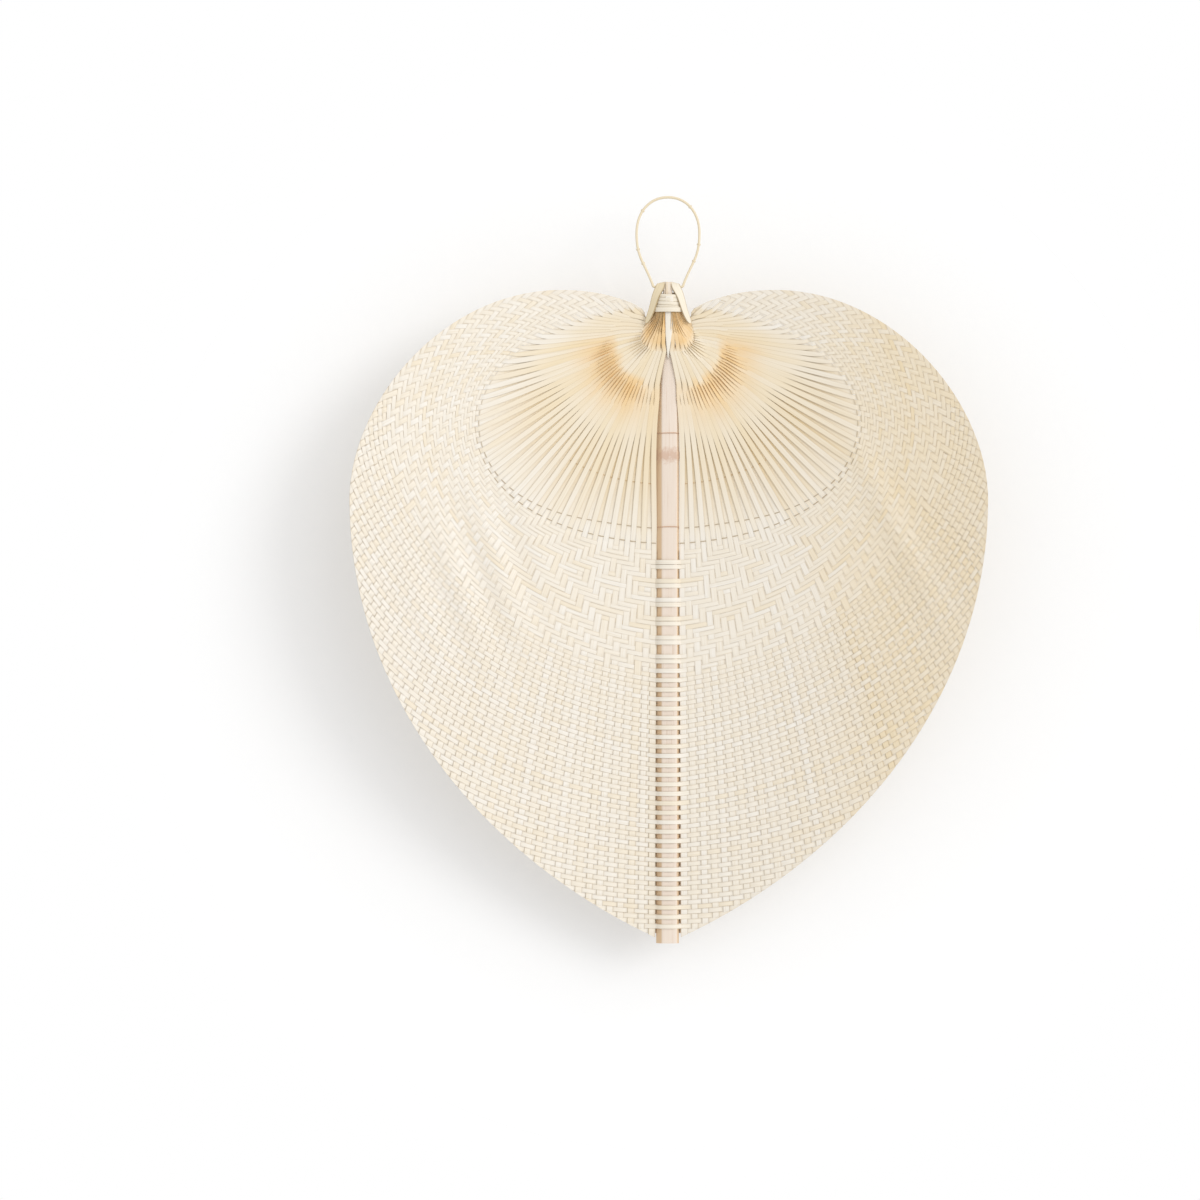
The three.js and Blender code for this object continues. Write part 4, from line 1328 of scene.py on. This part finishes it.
    def _build_wefts(self, material: Material) -> None:
        """Builds the bands of wefts."""
        zone = self.open_zone()
        for band in range(self.blade.strips // self.wefts_per_band):
            mesh = StripMesh()
            for weft in range(band * self.wefts_per_band, (band + 1) * self.wefts_per_band):
                if self.blade.strips - 1 - weft > 0:
                    mesh.add(self._weft(weft, zone))
            number = f"{band + 1:02d}"
            piece = mesh.to_object(f"weft_strips_{number}")
            hand_over(piece, FAN_BODY, [f"weft_band_{number}"], material)


@dataclass
class Spine:
    """The stick down the middle, its node and its two thread ties."""

    sides: Pair = (-5.6, 5.2)  # the flanks, where they stand out most
    face: Pair = (-2.8, 4.1)  # the flat front between them
    flank_level: float = 0.4  # how far behind the middle the flanks stand out most
    depth: float = 4.6
    neck_width: float = 4.4
    taper_levels: Pair = (-54.35, -90.35)
    node_level: float = -122.0
    node_height: float = 7.0
    node_swell: float = 0.35
    edge: float = 0.6
    tie_thread: float = 0.42

    def build(self, finish: SolidBamboo, thread: PlantThread) -> None:
        """Builds the stick and its ties.

        Args:
            finish: The stick's finish.
            thread: The ties' finish.
        """
        piece = settle(self._stick(), "spine_stick")
        hand_over(piece, FAN_BODY, ["spine"], finish.material())
        material = thread.material()
        for place in ("upper", "lower"):
            node = f"{place}_spine_tie"
            piece = settle(self._tie(node), f"{place}_tie_thread")
            hand_over(piece, FAN_BODY, [node], material)

    def _stick(self) -> Piece:
        """Shapes the stick from a block: cut at its levels, tapered, swollen at the node and rounded.

        Returns:
            The stick.
        """
        low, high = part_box("spine")
        width = self.sides[1] - self.sides[0]
        centre = (sum(self.sides) / 2 * MM, 0, (low[2] + high[2]) / 2)
        stick = start_block("spine_stick", centre, (width * MM, self.depth * MM, high[2] - low[2]))
        cut((0, self.flank_level * MM, 0), (0, 1, 0))
        work = bmesh.from_edit_mesh(stick.data)
        for vertex in work.verts:
            if vertex.co.y < (0.01 - self.depth / 2) * MM:
                vertex.co.x = self.face[0 if vertex.co.x < 0 else 1] * MM
        bmesh.update_edit_mesh(stick.data)
        half = self.node_height / 2
        node_cuts = [self.node_level + half * share for share in (1, 0.35, -0.35, -1)]
        for level in (*self.taper_levels, *node_cuts):
            cut((0, 0, level * MM))
        slim = self.neck_width / width
        self._resize(stick, lambda z: z > self.taper_levels[0] - 0.01, (slim, 1, 1))
        swell = (1 + 2 * self.node_swell / width, 1 + 2 * self.node_swell / self.depth, 1)
        self._resize(stick, lambda z: abs(z - self.node_level) < half * 0.5, swell)
        round_long_edges(stick, self.edge, 4, 30)
        return stick

    @staticmethod
    def _resize(stick: Piece, test: Callable[[float], bool], value: tuple[float, float, float]) -> None:
        """Scales the stick's corners at some levels about its axis."""
        work = bmesh.from_edit_mesh(stick.data)
        for vertex in work.verts:
            vertex.select_set(test(vertex.co.z / MM))
        work.select_flush_mode()
        bmesh.update_edit_mesh(stick.data)
        bpy.ops.transform.resize(value=value, center_override=(0, 0, 0))

    def _tie(self, node: str) -> Piece:
        """Lays a thread round the stick, where the solid tie is.

        Args:
            node: The solid tie's name.

        Returns:
            The tie as a mesh.
        """
        low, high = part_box(node)
        level = (low[2] + high[2]) / 2
        out = self.tie_thread / 2
        front = -self.depth / 2 - out
        left, right = self.sides[0] - out, self.sides[1] + out
        corners = [
            (self.face[0], front),
            (self.face[1], front),
            (right, self.flank_level),
            (right - self.edge, -front),
            (left + self.edge, -front),
            (left, self.flank_level),
        ]
        route = [
            tuple(p + (q - p) * share for p, q in zip(corner, after))
            for corner, after in zip(corners, corners[1:] + corners[:1])
            for share in (0.06, 0.35, 0.65, 0.94)
        ]
        rise = 0.25 * self.tie_thread
        points = [Vector((x, y, level / MM + rise * math.sin(k * 0.8))) * MM for k, (x, y) in enumerate(route)]
        return round_thread(points, self.tie_thread, closed=True)


def start_block(name: str, centre: Sequence[float], size: Sequence[float]) -> Piece:
    """Places a block and opens it for editing.

    Args:
        name: Its name.
        centre: Its centre, in metres.
        size: Its three sides, in metres.

    Returns:
        The block, in edit mode.
    """
    clear_bench()
    bpy.ops.mesh.primitive_cube_add(size=1, location=centre)
    block = bpy.context.object
    block.scale = size
    settle(block, name)
    bpy.ops.object.mode_set(mode="EDIT")
    return block


def cut(place: Sequence[float], normal: Sequence[float] = (0, 0, 1)) -> None:
    """Cuts the piece in edit mode with a plane and keeps both sides."""
    bpy.ops.mesh.select_all(action="SELECT")
    bpy.ops.mesh.bisect(plane_co=place, plane_no=normal)


def round_long_edges(piece: Piece, offset: float, segments: int, smooth_degrees: float) -> None:
    """Rounds the edges that run up a piece in edit mode, and ends its editing.

    Args:
        piece: The stick or sliver.
        offset: How far from the edge the rounding starts, in millimetres.
        segments: Its number of steps.
        smooth_degrees: The angle up to which faces are shaded as one.
    """
    bpy.ops.mesh.select_mode(type="EDGE")
    bpy.ops.mesh.select_all(action="DESELECT")
    work = bmesh.from_edit_mesh(piece.data)
    for edge in work.edges:
        edge.select_set(abs(edge.verts[0].co.z - edge.verts[1].co.z) > LEVEL)
    bmesh.update_edit_mesh(piece.data)
    bpy.ops.mesh.bevel(offset=offset * MM, segments=segments, profile=0.5, affect="EDGES")
    bpy.ops.object.mode_set(mode="OBJECT")
    bpy.ops.object.shade_smooth_by_angle(angle=math.radians(smooth_degrees))


def round_thread(points: Sequence[Vector], diameter: float, closed: bool = False) -> Piece:
    """Makes a round thread along some points.

    Args:
        points: Its route in metres.
        diameter: In millimetres.
        closed: Whether it joins itself.

    Returns:
        The thread as a mesh.
    """
    clear_bench()
    bpy.ops.curve.primitive_nurbs_path_add()
    thread = bpy.context.object
    thread.data.splines.clear()
    spline = thread.data.splines.new("NURBS")
    spline.points.add(len(points) - 1)
    for point, place in zip(spline.points, points):
        point.co = (*place, 1)
    spline.order_u = 3
    spline.use_cyclic_u = closed
    spline.use_endpoint_u = not closed
    spline.resolution_u = 3
    thread.location = (0, 0, 0)
    thread.data.dimensions = "3D"
    thread.data.bevel_depth = diameter / 2 * MM
    thread.data.bevel_resolution = 2
    thread.data.use_fill_caps = not closed
    take_up(thread)
    bpy.ops.object.convert(target="MESH")
    bpy.ops.object.shade_smooth()
    return bpy.context.object


@dataclass
class Neck:
    """The binding wound round the gathered ribs, the two straps over it and the wedge that tightens it."""

    shape: NeckShape
    turns: float = 5.0
    pitch: float = 1.74
    ribbon: float = 1.68
    last_ribbon: float = 2.3  # height of the last half turn, which lies level over the one before
    ribbon_thickness: float = 0.5
    steps_per_turn: int = 40
    clearance: float = 0.15
    strap_width: float = 3.8
    strap_thickness: float = 0.7
    strap_top: float = 3.35  # from the middle to each strap's middle over the loop's foot
    strap_knees: tuple[float, float, float] = (10.3, 8.1, 5.3)  # the same at its end and the binding's foot and top
    strap_slant: float = 14.0  # degrees that the fold slopes outwards
    strap_easing: int = 3  # times that the bends are eased
    strap_end_level: float = -59.35
    strap_wrap: float = 0.85
    foot_radius: float = 1.25
    first_drop: float = 0.7  # from the neck's top to the middle of the first turn
    last_rise: Pair = (0.65, 0.5)  # turns before the end over which the last half turn rises
    last_lift: float = 1.05  # how far it rises, in thicknesses
    leg_stations: int = 12
    fold_stations: int = 9
    foot_gap: float = 0.3  # between the loop's foot and the fold
    leg_twist: float = 0.6  # how far the legs turn with the binding
    # Breadth of a strap at some shares of the way from its fold to its ends
    strap_taper: tuple[Pair, ...] = ((0, 1.06), (0.25, 1.06), (0.85, 0.8), (0.95, 0.62), (1, 0.3))
    strap_tones: Pair = (0.7, 0.15)  # left and right
    wedge_spread: float = 1.25  # how far the dried wedge has spread
    wedge_lean: float = 0.7  # how far its head leans to the right
    # Breadth of the wedge at some shares of the way down
    wedge_taper: tuple[Pair, ...] = ((0, 1), (0.3, 1), (0.6, 0.8), (0.85, 0.42), (1, 0.1))
    wedge_edge: float = 0.25

    def build(self, binding: SplitBamboo, left_strap: SplitBamboo, right_strap: SplitBamboo) -> None:
        """Builds the binding, the straps and the wedge.

        Args:
            binding: The ribbon's and the wedge's finish.
            left_strap: The left strap's finish.
            right_strap: The right strap's finish.
        """
        ribbon = binding.material()
        mesh = StripMesh()
        mesh.add(self._ribbon())
        hand_over(mesh.to_object("binding_ribbon"), FAN_BODY, ["neck_binding"], ribbon)
        for side, finish in ((Side.LEFT, left_strap), (Side.RIGHT, right_strap)):
            mesh = StripMesh()
            mesh.add(self._strap(side))
            word = side.name.lower()
            piece = mesh.to_object(f"{word}_strap")
            hand_over(piece, FAN_BODY, [f"{word}_neck_strap"], finish.material())
        wedge = settle(self._wedge(), "wedge")
        hand_over(wedge, FAN_BODY, ["neck_wedge"], ribbon)

    def _ribbon(self) -> StripPath:
        """Winds the ribbon down the neck."""
        turn = np.linspace(0, self.turns, int(self.turns * self.steps_per_turn))
        angle = turn * 2 * math.pi
        start, end = (self.turns - before for before in self.last_rise)
        last = smooth_step(start, end, turn)
        level = self.shape.top_level - self.first_drop - np.minimum(turn, end) * self.pitch
        a, b = self.shape.halves(level)
        out = unit(np.stack([np.cos(angle) / a, np.sin(angle) / b, np.zeros_like(angle)], axis=-1))
        core = np.stack([a * np.cos(angle), b * np.sin(angle), level], axis=-1)
        over = self.clearance + self.ribbon_thickness * (0.5 + self.last_lift * last)
        points = core + out * over[:, None]
        turn_shade = np.zeros(len(points))
        width = self.ribbon + (self.last_ribbon - self.ribbon) * last
        return StripPath(points, out, width, self.ribbon_thickness, 0.3, turn_shade, (0.35, 0.55))

    def _strap_depth(self, x: np.ndarray, level: np.ndarray) -> np.ndarray:
        """Gives the depth of a strap's middle where it lies on the binding."""
        a, b = self.shape.halves(np.maximum(level, self.shape.base_level))
        over = self.clearance + self.ribbon_thickness + self.strap_thickness
        share = np.minimum(x / (a + over), self.strap_wrap)
        return (b + over) * np.sqrt(1 - share * share)

    def _strap(self, side: Side) -> StripPath:
        """Bends one strap up the front, over the loop's foot and down the back."""
        level = np.linspace(self.strap_end_level, self.shape.top_level, self.leg_stations)
        knees = [self.strap_end_level, self.shape.base_level, self.shape.top_level]
        x = np.interp(level, knees, self.strap_knees)
        leg = np.stack([x, -self._strap_depth(x, level), level], axis=-1)
        radius = self.foot_radius + self.foot_gap + self.strap_thickness / 2
        angle = np.radians(np.linspace(0, 180, self.fold_stations))
        fold = np.stack(
            [
                np.full_like(angle, self.strap_top),
                -radius * np.cos(angle),
                self.shape.foot_level + radius * np.sin(angle),
            ],
            axis=-1,
        )
        back = leg[::-1] * [1, -1, 1]
        points = np.concatenate([leg, fold, back]) * [side.value, 1, 1]
        a, b = self.shape.halves(np.maximum(leg[:, 2], self.shape.base_level))
        lean = unit(np.stack([self.leg_twist * leg[:, 0] / a**2, leg[:, 1] / b**2, np.zeros(len(leg))], axis=-1))
        slope = math.tan(math.radians(self.strap_slant)) * np.sin(angle)
        round_fold = unit(np.stack([slope, -np.cos(angle), np.sin(angle)], axis=-1))
        normals = np.concatenate([lean, round_fold, lean[::-1] * [1, -1, 1]]) * [side.value, 1, 1]
        for _ in range(self.strap_easing):
            points[1:-1] = (points[:-2] + 2 * points[1:-1] + points[2:]) / 4
            normals[1:-1] = unit(normals[:-2] + 2 * normals[1:-1] + normals[2:])
        reach = np.abs(np.linspace(-1, 1, len(points)))
        taper = np.interp(reach, *zip(*self.strap_taper))
        turn_shade = np.zeros(len(points))
        tone = self.strap_tones[0 if side is Side.LEFT else 1]
        width = taper * self.strap_width
        return StripPath(points, normals, width, self.strap_thickness, tone, turn_shade, (0.6, 0.6))

    def _wedge(self) -> Piece:
        """Shapes the pale sliver from a block drawn out to a point.

        Returns:
            The wedge.
        """
        low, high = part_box("neck_wedge")
        centre = (Vector(low) + Vector(high)) / 2
        size = Vector(high) - Vector(low)
        wedge = start_block("wedge", centre, size)
        shares, breadths = zip(*self.wedge_taper)
        for share in shares[1:-1]:
            cut((0, 0, high[2] - share * size.z))
        work = bmesh.from_edit_mesh(wedge.data)
        for vertex in work.verts:
            share = (high[2] - vertex.co.z) / size.z
            thin = np.interp(share, shares, breadths)
            vertex.co.x = vertex.co.x * thin * self.wedge_spread + self.wedge_lean * (1 - share) * MM
            if vertex.co.y < centre.y:
                vertex.co.y = high[1] - (high[1] - vertex.co.y) * (0.4 + 0.6 * thin)
        bmesh.update_edit_mesh(wedge.data)
        round_long_edges(wedge, self.wedge_edge, 2, 35)
        return wedge


@dataclass
class HangingLoop:
    """The thin strip bent to a teardrop, with small nodes, whose foot lies under the straps."""

    drop: float = 42.0
    width: float = 31.0
    widest_drop: float = 16.5
    foot_width: float = 15.8
    strip_thickness: float = 1.15
    strip_width: float = 2.4
    top_handle: float = 0.6  # of the half width
    side_handle: float = 0.4  # of the drop to the widest part, where the handle ends
    leg_handles: float = 0.45  # of the height of the legs
    leg_bow: float = 4.4  # how far the legs' lower handles stand out
    corner_handle: float = 0.4  # of the corner at the foot
    nodes: tuple[float, ...] = (0.1, 0.26, 0.33, 0.66, 0.72, 0.88)  # shares of the way round, from the top
    node_step: float = 0.004  # share of the way over which the strip's direction is taken
    node_size: tuple[float, float, float] = (2.0, 2.9, 1.3)  # across, from front to back, and along the strip

    def build(self, finish: SolidBamboo) -> None:
        """Builds the loop.

        Args:
            finish: Its finish.
        """
        strip = self._strip()
        for share in self.nodes:
            self._add_node(strip, share)
        piece = settle(strip, "loop_strip")
        hand_over(piece, HANGER_BODY, ["hanging_loop"], finish.material())

    def _anchors(self) -> list[tuple[Pair, ...]]:
        """Lays out the closed curve of the strip's middle.

        Returns:
            Each point with its handles before and after it, as (x, z) in millimetres.
        """
        half = self.strip_thickness / 2
        wide = self.width / 2 - half
        root = self.foot_width / 2 - half
        top = wide * self.top_handle
        side = self.widest_drop
        reach = (self.drop - side) * self.leg_handles
        corner = self.strip_thickness
        bend = self.corner_handle * corner
        foot = -self.drop
        right = [
            ((0, half), (-top, half), (top, half)),
            ((wide, -side), (wide, -side * self.side_handle), (wide, -side - reach)),
            ((root, foot + corner), (root + self.leg_bow, foot + corner + reach), (root, foot + bend)),
            ((root - corner, foot), (root - bend, foot), (0, foot)),
        ]
        left = [tuple((-x, z) for x, z in (anchor, after, before)) for anchor, before, after in reversed(right[1:])]
        return right + left

    def _add_node(self, strip: Piece, share: float) -> None:
        """Adds one small node to the loop, as a bead round it.

        Args:
            strip: The loop, which takes the bead in.
            share: Where it sits, as a share of the way round from the top.
        """
        anchors = self._anchors()
        pairs = zip(anchors, anchors[1:] + anchors[:1])
        middle = ArcCurve(np.concatenate([cubic(a[0], a[2], b[1], b[0]) for a, b in pairs]))
        place, ahead = middle.at(np.array([share, share + self.node_step]))
        turn = math.atan2(ahead[0] - place[0], ahead[1] - place[1])
        clear_bench()
        bpy.ops.mesh.primitive_uv_sphere_add(
            segments=12, ring_count=8, radius=0.5, location=(place[0] * MM, 0, place[1] * MM), rotation=(0, turn, 0)
        )
        bead = bpy.context.object
        bead.scale = Vector(self.node_size) * MM
        bpy.ops.object.shade_smooth()
        settle(bead, "loop_node")
        strip.select_set(True)
        bpy.context.view_layer.objects.active = strip
        bpy.ops.object.join()

    def _strip(self) -> Piece:
        """Bends a flat strip with rounded edges along a closed curve.

        Returns:
            The loop as a mesh.
        """
        clear_bench()
        bpy.ops.curve.primitive_bezier_circle_add()
        loop = bpy.context.object
        curve = loop.data
        curve.splines.clear()
        spline = curve.splines.new("BEZIER")
        anchors = self._anchors()
        spline.bezier_points.add(len(anchors) - 1)
        for point, (anchor, before, after) in zip(spline.bezier_points, anchors):
            point.handle_left_type = "FREE"
            point.handle_right_type = "FREE"
            point.co = (anchor[0] * MM, anchor[1] * MM, 0)
            point.handle_left = (before[0] * MM, before[1] * MM, 0)
            point.handle_right = (after[0] * MM, after[1] * MM, 0)
        spline.use_cyclic_u = True
        spline.resolution_u = 14
        curve.dimensions = "2D"
        curve.fill_mode = "NONE"
        curve.extrude = (self.strip_width - self.strip_thickness) / 2 * MM
        curve.bevel_depth = self.strip_thickness / 2 * MM
        curve.bevel_resolution = 3
        loop.location = (0, 0, 0)
        take_up(loop)
        bpy.ops.object.convert(target="MESH")
        loop = bpy.context.object
        loop.rotation_euler = (math.pi / 2, 0, 0)
        bpy.ops.object.transform_apply(location=True, rotation=True, scale=True)
        bpy.ops.object.mode_set(mode="EDIT")
        bpy.ops.mesh.select_all(action="SELECT")
        bpy.ops.mesh.remove_doubles(threshold=0.01 * MM)
        bpy.ops.mesh.normals_make_consistent(inside=False)
        bpy.ops.object.mode_set(mode="OBJECT")
        bpy.ops.object.shade_smooth_by_angle(angle=math.radians(40))
        return loop


@dataclass
class Twining:
    """The thin thread that passes in front of every second rib, a little inside the ring."""

    weaving: Weaving
    ribs: int = 24
    reach: float = 0.7  # share of the way from the lobe to the ring
    diameter: float = 0.34
    stand: float = 0.2

    def build(self, finish: PlantThread) -> None:
        """Builds the thread of each half.

        Args:
            finish: The thread's finish.
        """
        material = finish.material()
        zone = self.weaving.open_zone().places
        for side in Side:
            points = [self._place(zone, rib, side) for rib in range(self.ribs)]
            word = side.name.lower()
            piece = settle(round_thread(points, self.diameter), f"{word}_twining")
            hand_over(piece, FAN_BODY, [f"{word}_twining_thread"], material)

    def _place(self, zone: np.ndarray, rib: int, side: Side) -> Vector:
        """Gives the thread's place at one rib: behind the forward ribs and in front of the others."""
        _, shares = self.weaving.run_shares()
        x, y, z = (float(np.interp(self.reach, shares, zone[rib][:, k])) for k in range(3))
        front = -1 if rib % 2 == 1 else 1
        return Vector((side.value * x, y + front * self.stand, z)) * MM


@dataclass
class Studio:
    """The pale wall behind the fan, the soft light from the right and the camera straight in front."""

    wall_gap: float = 26.0
    wall_side: float = 600.0
    wall_fade: Pair = (195.0, 290.0)  # distances from its middle between which it grows clear
    wall_level: float = -200.0  # height of its middle
    wall_colour: str = "FEFEFE"
    wall_glow: float = 0.2
    glow_strength: float = 1.06
    wall_search: float = 900.0  # how far behind the wall the fan is looked for
    search_rays: int = 20
    search_empty: float = 0.999  # above this no ray has met the fan
    sun_from: tuple[float, float, float] = (0.82, -1.0, 0.55)
    sun_strength: float = 0.55
    sun_angle: float = 58.0
    window_from: tuple[float, float, float] = (0.9, -1.0, 0.42)
    window_strength: float = 0.6
    window_angle: float = 24.0
    sky: float = 0.765
    camera_distance: float = 2400.0
    spine_column: float = 668.0  # pixel column of the spine
    peg_row: float = 198.5  # pixel row of the loop's resting point
    sensor: float = 36.0
    view_end: float = 20.0  # metres

    def build(self) -> None:
        """Sets the view transform and builds the wall, the light and the camera."""
        bpy.context.scene.view_settings.view_transform = "Standard"
        self._wall()
        self._light()
        self._camera()

    def _wall(self) -> None:
        """Adds the wall, which only the camera sees, from its front, round the fan and where no fan is behind it."""
        _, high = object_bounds()
        middle = (0.0, high[1] + self.wall_gap * MM, self.wall_level * MM)
        clear_bench()
        bpy.ops.mesh.primitive_plane_add(size=self.wall_side * MM, location=middle, rotation=(math.pi / 2, 0, 0))
        wall = settle(bpy.context.object, "wall")
        made, tree, _ = start_material("painted_wall")
        tree.nodes.clear()
        colour = linear(self.wall_colour)
        paint = add_node(tree, "ShaderNodeBsdfDiffuse", {"Color": colour})
        glow = add_node(tree, "ShaderNodeEmission", {"Color": colour, "Strength": self.glow_strength})
        lit = add_node(tree, "ShaderNodeMixShader", {0: self.wall_glow, 1: paint.outputs[0], 2: glow.outputs[0]})
        shown = add_node(tree, "ShaderNodeLightPath").outputs["Is Camera Ray"]
        face = add_node(tree, "ShaderNodeNewGeometry").outputs
        search = {"Distance": self.wall_search * MM}
        behind = add_node(tree, "ShaderNodeAmbientOcclusion", search, inside=True, samples=self.search_rays)
        away = add_node(tree, "ShaderNodeVectorMath", {0: face["Position"], 1: middle}, operation="DISTANCE")
        fade = tuple(distance * MM for distance in self.wall_fade)
        front = compute(tree, "SUBTRACT", 1.0, face["Backfacing"])
        empty = compute(tree, "GREATER_THAN", behind.outputs["AO"], self.search_empty)
        near = spread(tree, away.outputs["Value"], fade, (1.0, 0.0), interpolation_type="SMOOTHSTEP")
        for share in (front, empty, near):
            shown = compute(tree, "MULTIPLY", shown, share)
        clear = add_node(tree, "ShaderNodeBsdfTransparent")
        mixed = add_node(tree, "ShaderNodeMixShader", {0: shown, 1: clear.outputs[0], 2: lit.outputs[0]})
        add_node(tree, "ShaderNodeOutputMaterial", {"Surface": mixed.outputs[0]})
        wall.data.materials.append(made)
        wall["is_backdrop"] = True

    @staticmethod
    def _lamp(name: str, place: tuple[float, float, float], strength: float, angle: float) -> None:
        """Adds one far lamp.

        Args:
            name: Its name.
            place: The direction that it shines from.
            strength: How strong it is.
            angle: How wide it is, in degrees.
        """
        clear_bench()
        bpy.ops.object.light_add(type="SUN", location=Vector(place) * 2)
        lamp = bpy.context.object
        lamp.name = name
        lamp.data.energy = strength
        lamp.data.angle = math.radians(angle)
        lamp.rotation_euler = Vector(place).to_track_quat("Z", "Y").to_euler()

    def _light(self) -> None:
        """Adds a soft sun, a narrower lamp and an even sky that is white to the camera."""
        self._lamp("soft_sun", self.sun_from, self.sun_strength, self.sun_angle)
        self._lamp("window", self.window_from, self.window_strength, self.window_angle)
        world = bpy.data.worlds.new("studio")
        bpy.context.scene.world = world
        world.use_nodes = True
        tree = world.node_tree
        tree.nodes.clear()
        ray = add_node(tree, "ShaderNodeLightPath")
        strength = spread(tree, ray.outputs["Is Camera Ray"], after=(self.sky, 1.0))
        sky = add_node(tree, "ShaderNodeBackground", {"Color": (1, 1, 1, 1), "Strength": strength})
        add_node(tree, "ShaderNodeOutputWorld", {"Surface": sky.outputs[0]})

    def _camera(self) -> None:
        """Places the camera so that each pixel of the photograph covers the same part of the fan."""
        centre_x = (IMAGE_SIDE / 2 - self.spine_column) * PIXEL
        centre_z = (self.peg_row - IMAGE_SIDE / 2) * PIXEL
        clear_bench()
        bpy.ops.object.camera_add(
            location=(centre_x * MM, -self.camera_distance * MM, centre_z * MM), rotation=(math.pi / 2, 0, 0)
        )
        camera = bpy.context.object
        camera.name = "front_camera"
        camera.data.sensor_width = self.sensor
        camera.data.lens = self.sensor * self.camera_distance / (IMAGE_SIDE * PIXEL)
        camera.data.clip_end = self.view_end
        bpy.context.scene.camera = camera


def main() -> None:
    """Loads the frame and builds the fan and its studio."""
    logging.basicConfig(level=logging.INFO, format="%(name)s: %(message)s")
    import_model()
    blade = Blade()
    neck = NeckShape()
    weaving = Weaving(blade, neck)
    weaving.build(SplitBamboo())
    spine = Spine()
    stick_finish = SolidBamboo(
        "bamboo_stick_scraped", "F2E5D8", "E8D5C2", node_level=spine.node_level, face_span=spine.face
    )
    spine.build(stick_finish, PlantThread())
    Neck(neck).build(
        SplitBamboo(name="binding_bamboo_shaved", pale="F6EFE2", straw="EADBBB"),
        SplitBamboo(name="strap_bamboo_straw", pale="F2E6CF", straw="E8D6B0"),
        SplitBamboo(name="strap_bamboo_pale", pale="F6EDDC", straw="EADAB8"),
    )
    HangingLoop().build(SolidBamboo("loop_bamboo_bent", "F6EBD4", "E6D2A8"))
    Twining(weaving).build(PlantThread(name="twining_thread_waxed", dark="CFAE80", light="E2C9A0"))
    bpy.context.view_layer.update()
    Studio().build()


if __name__ == "__main__":
    main()
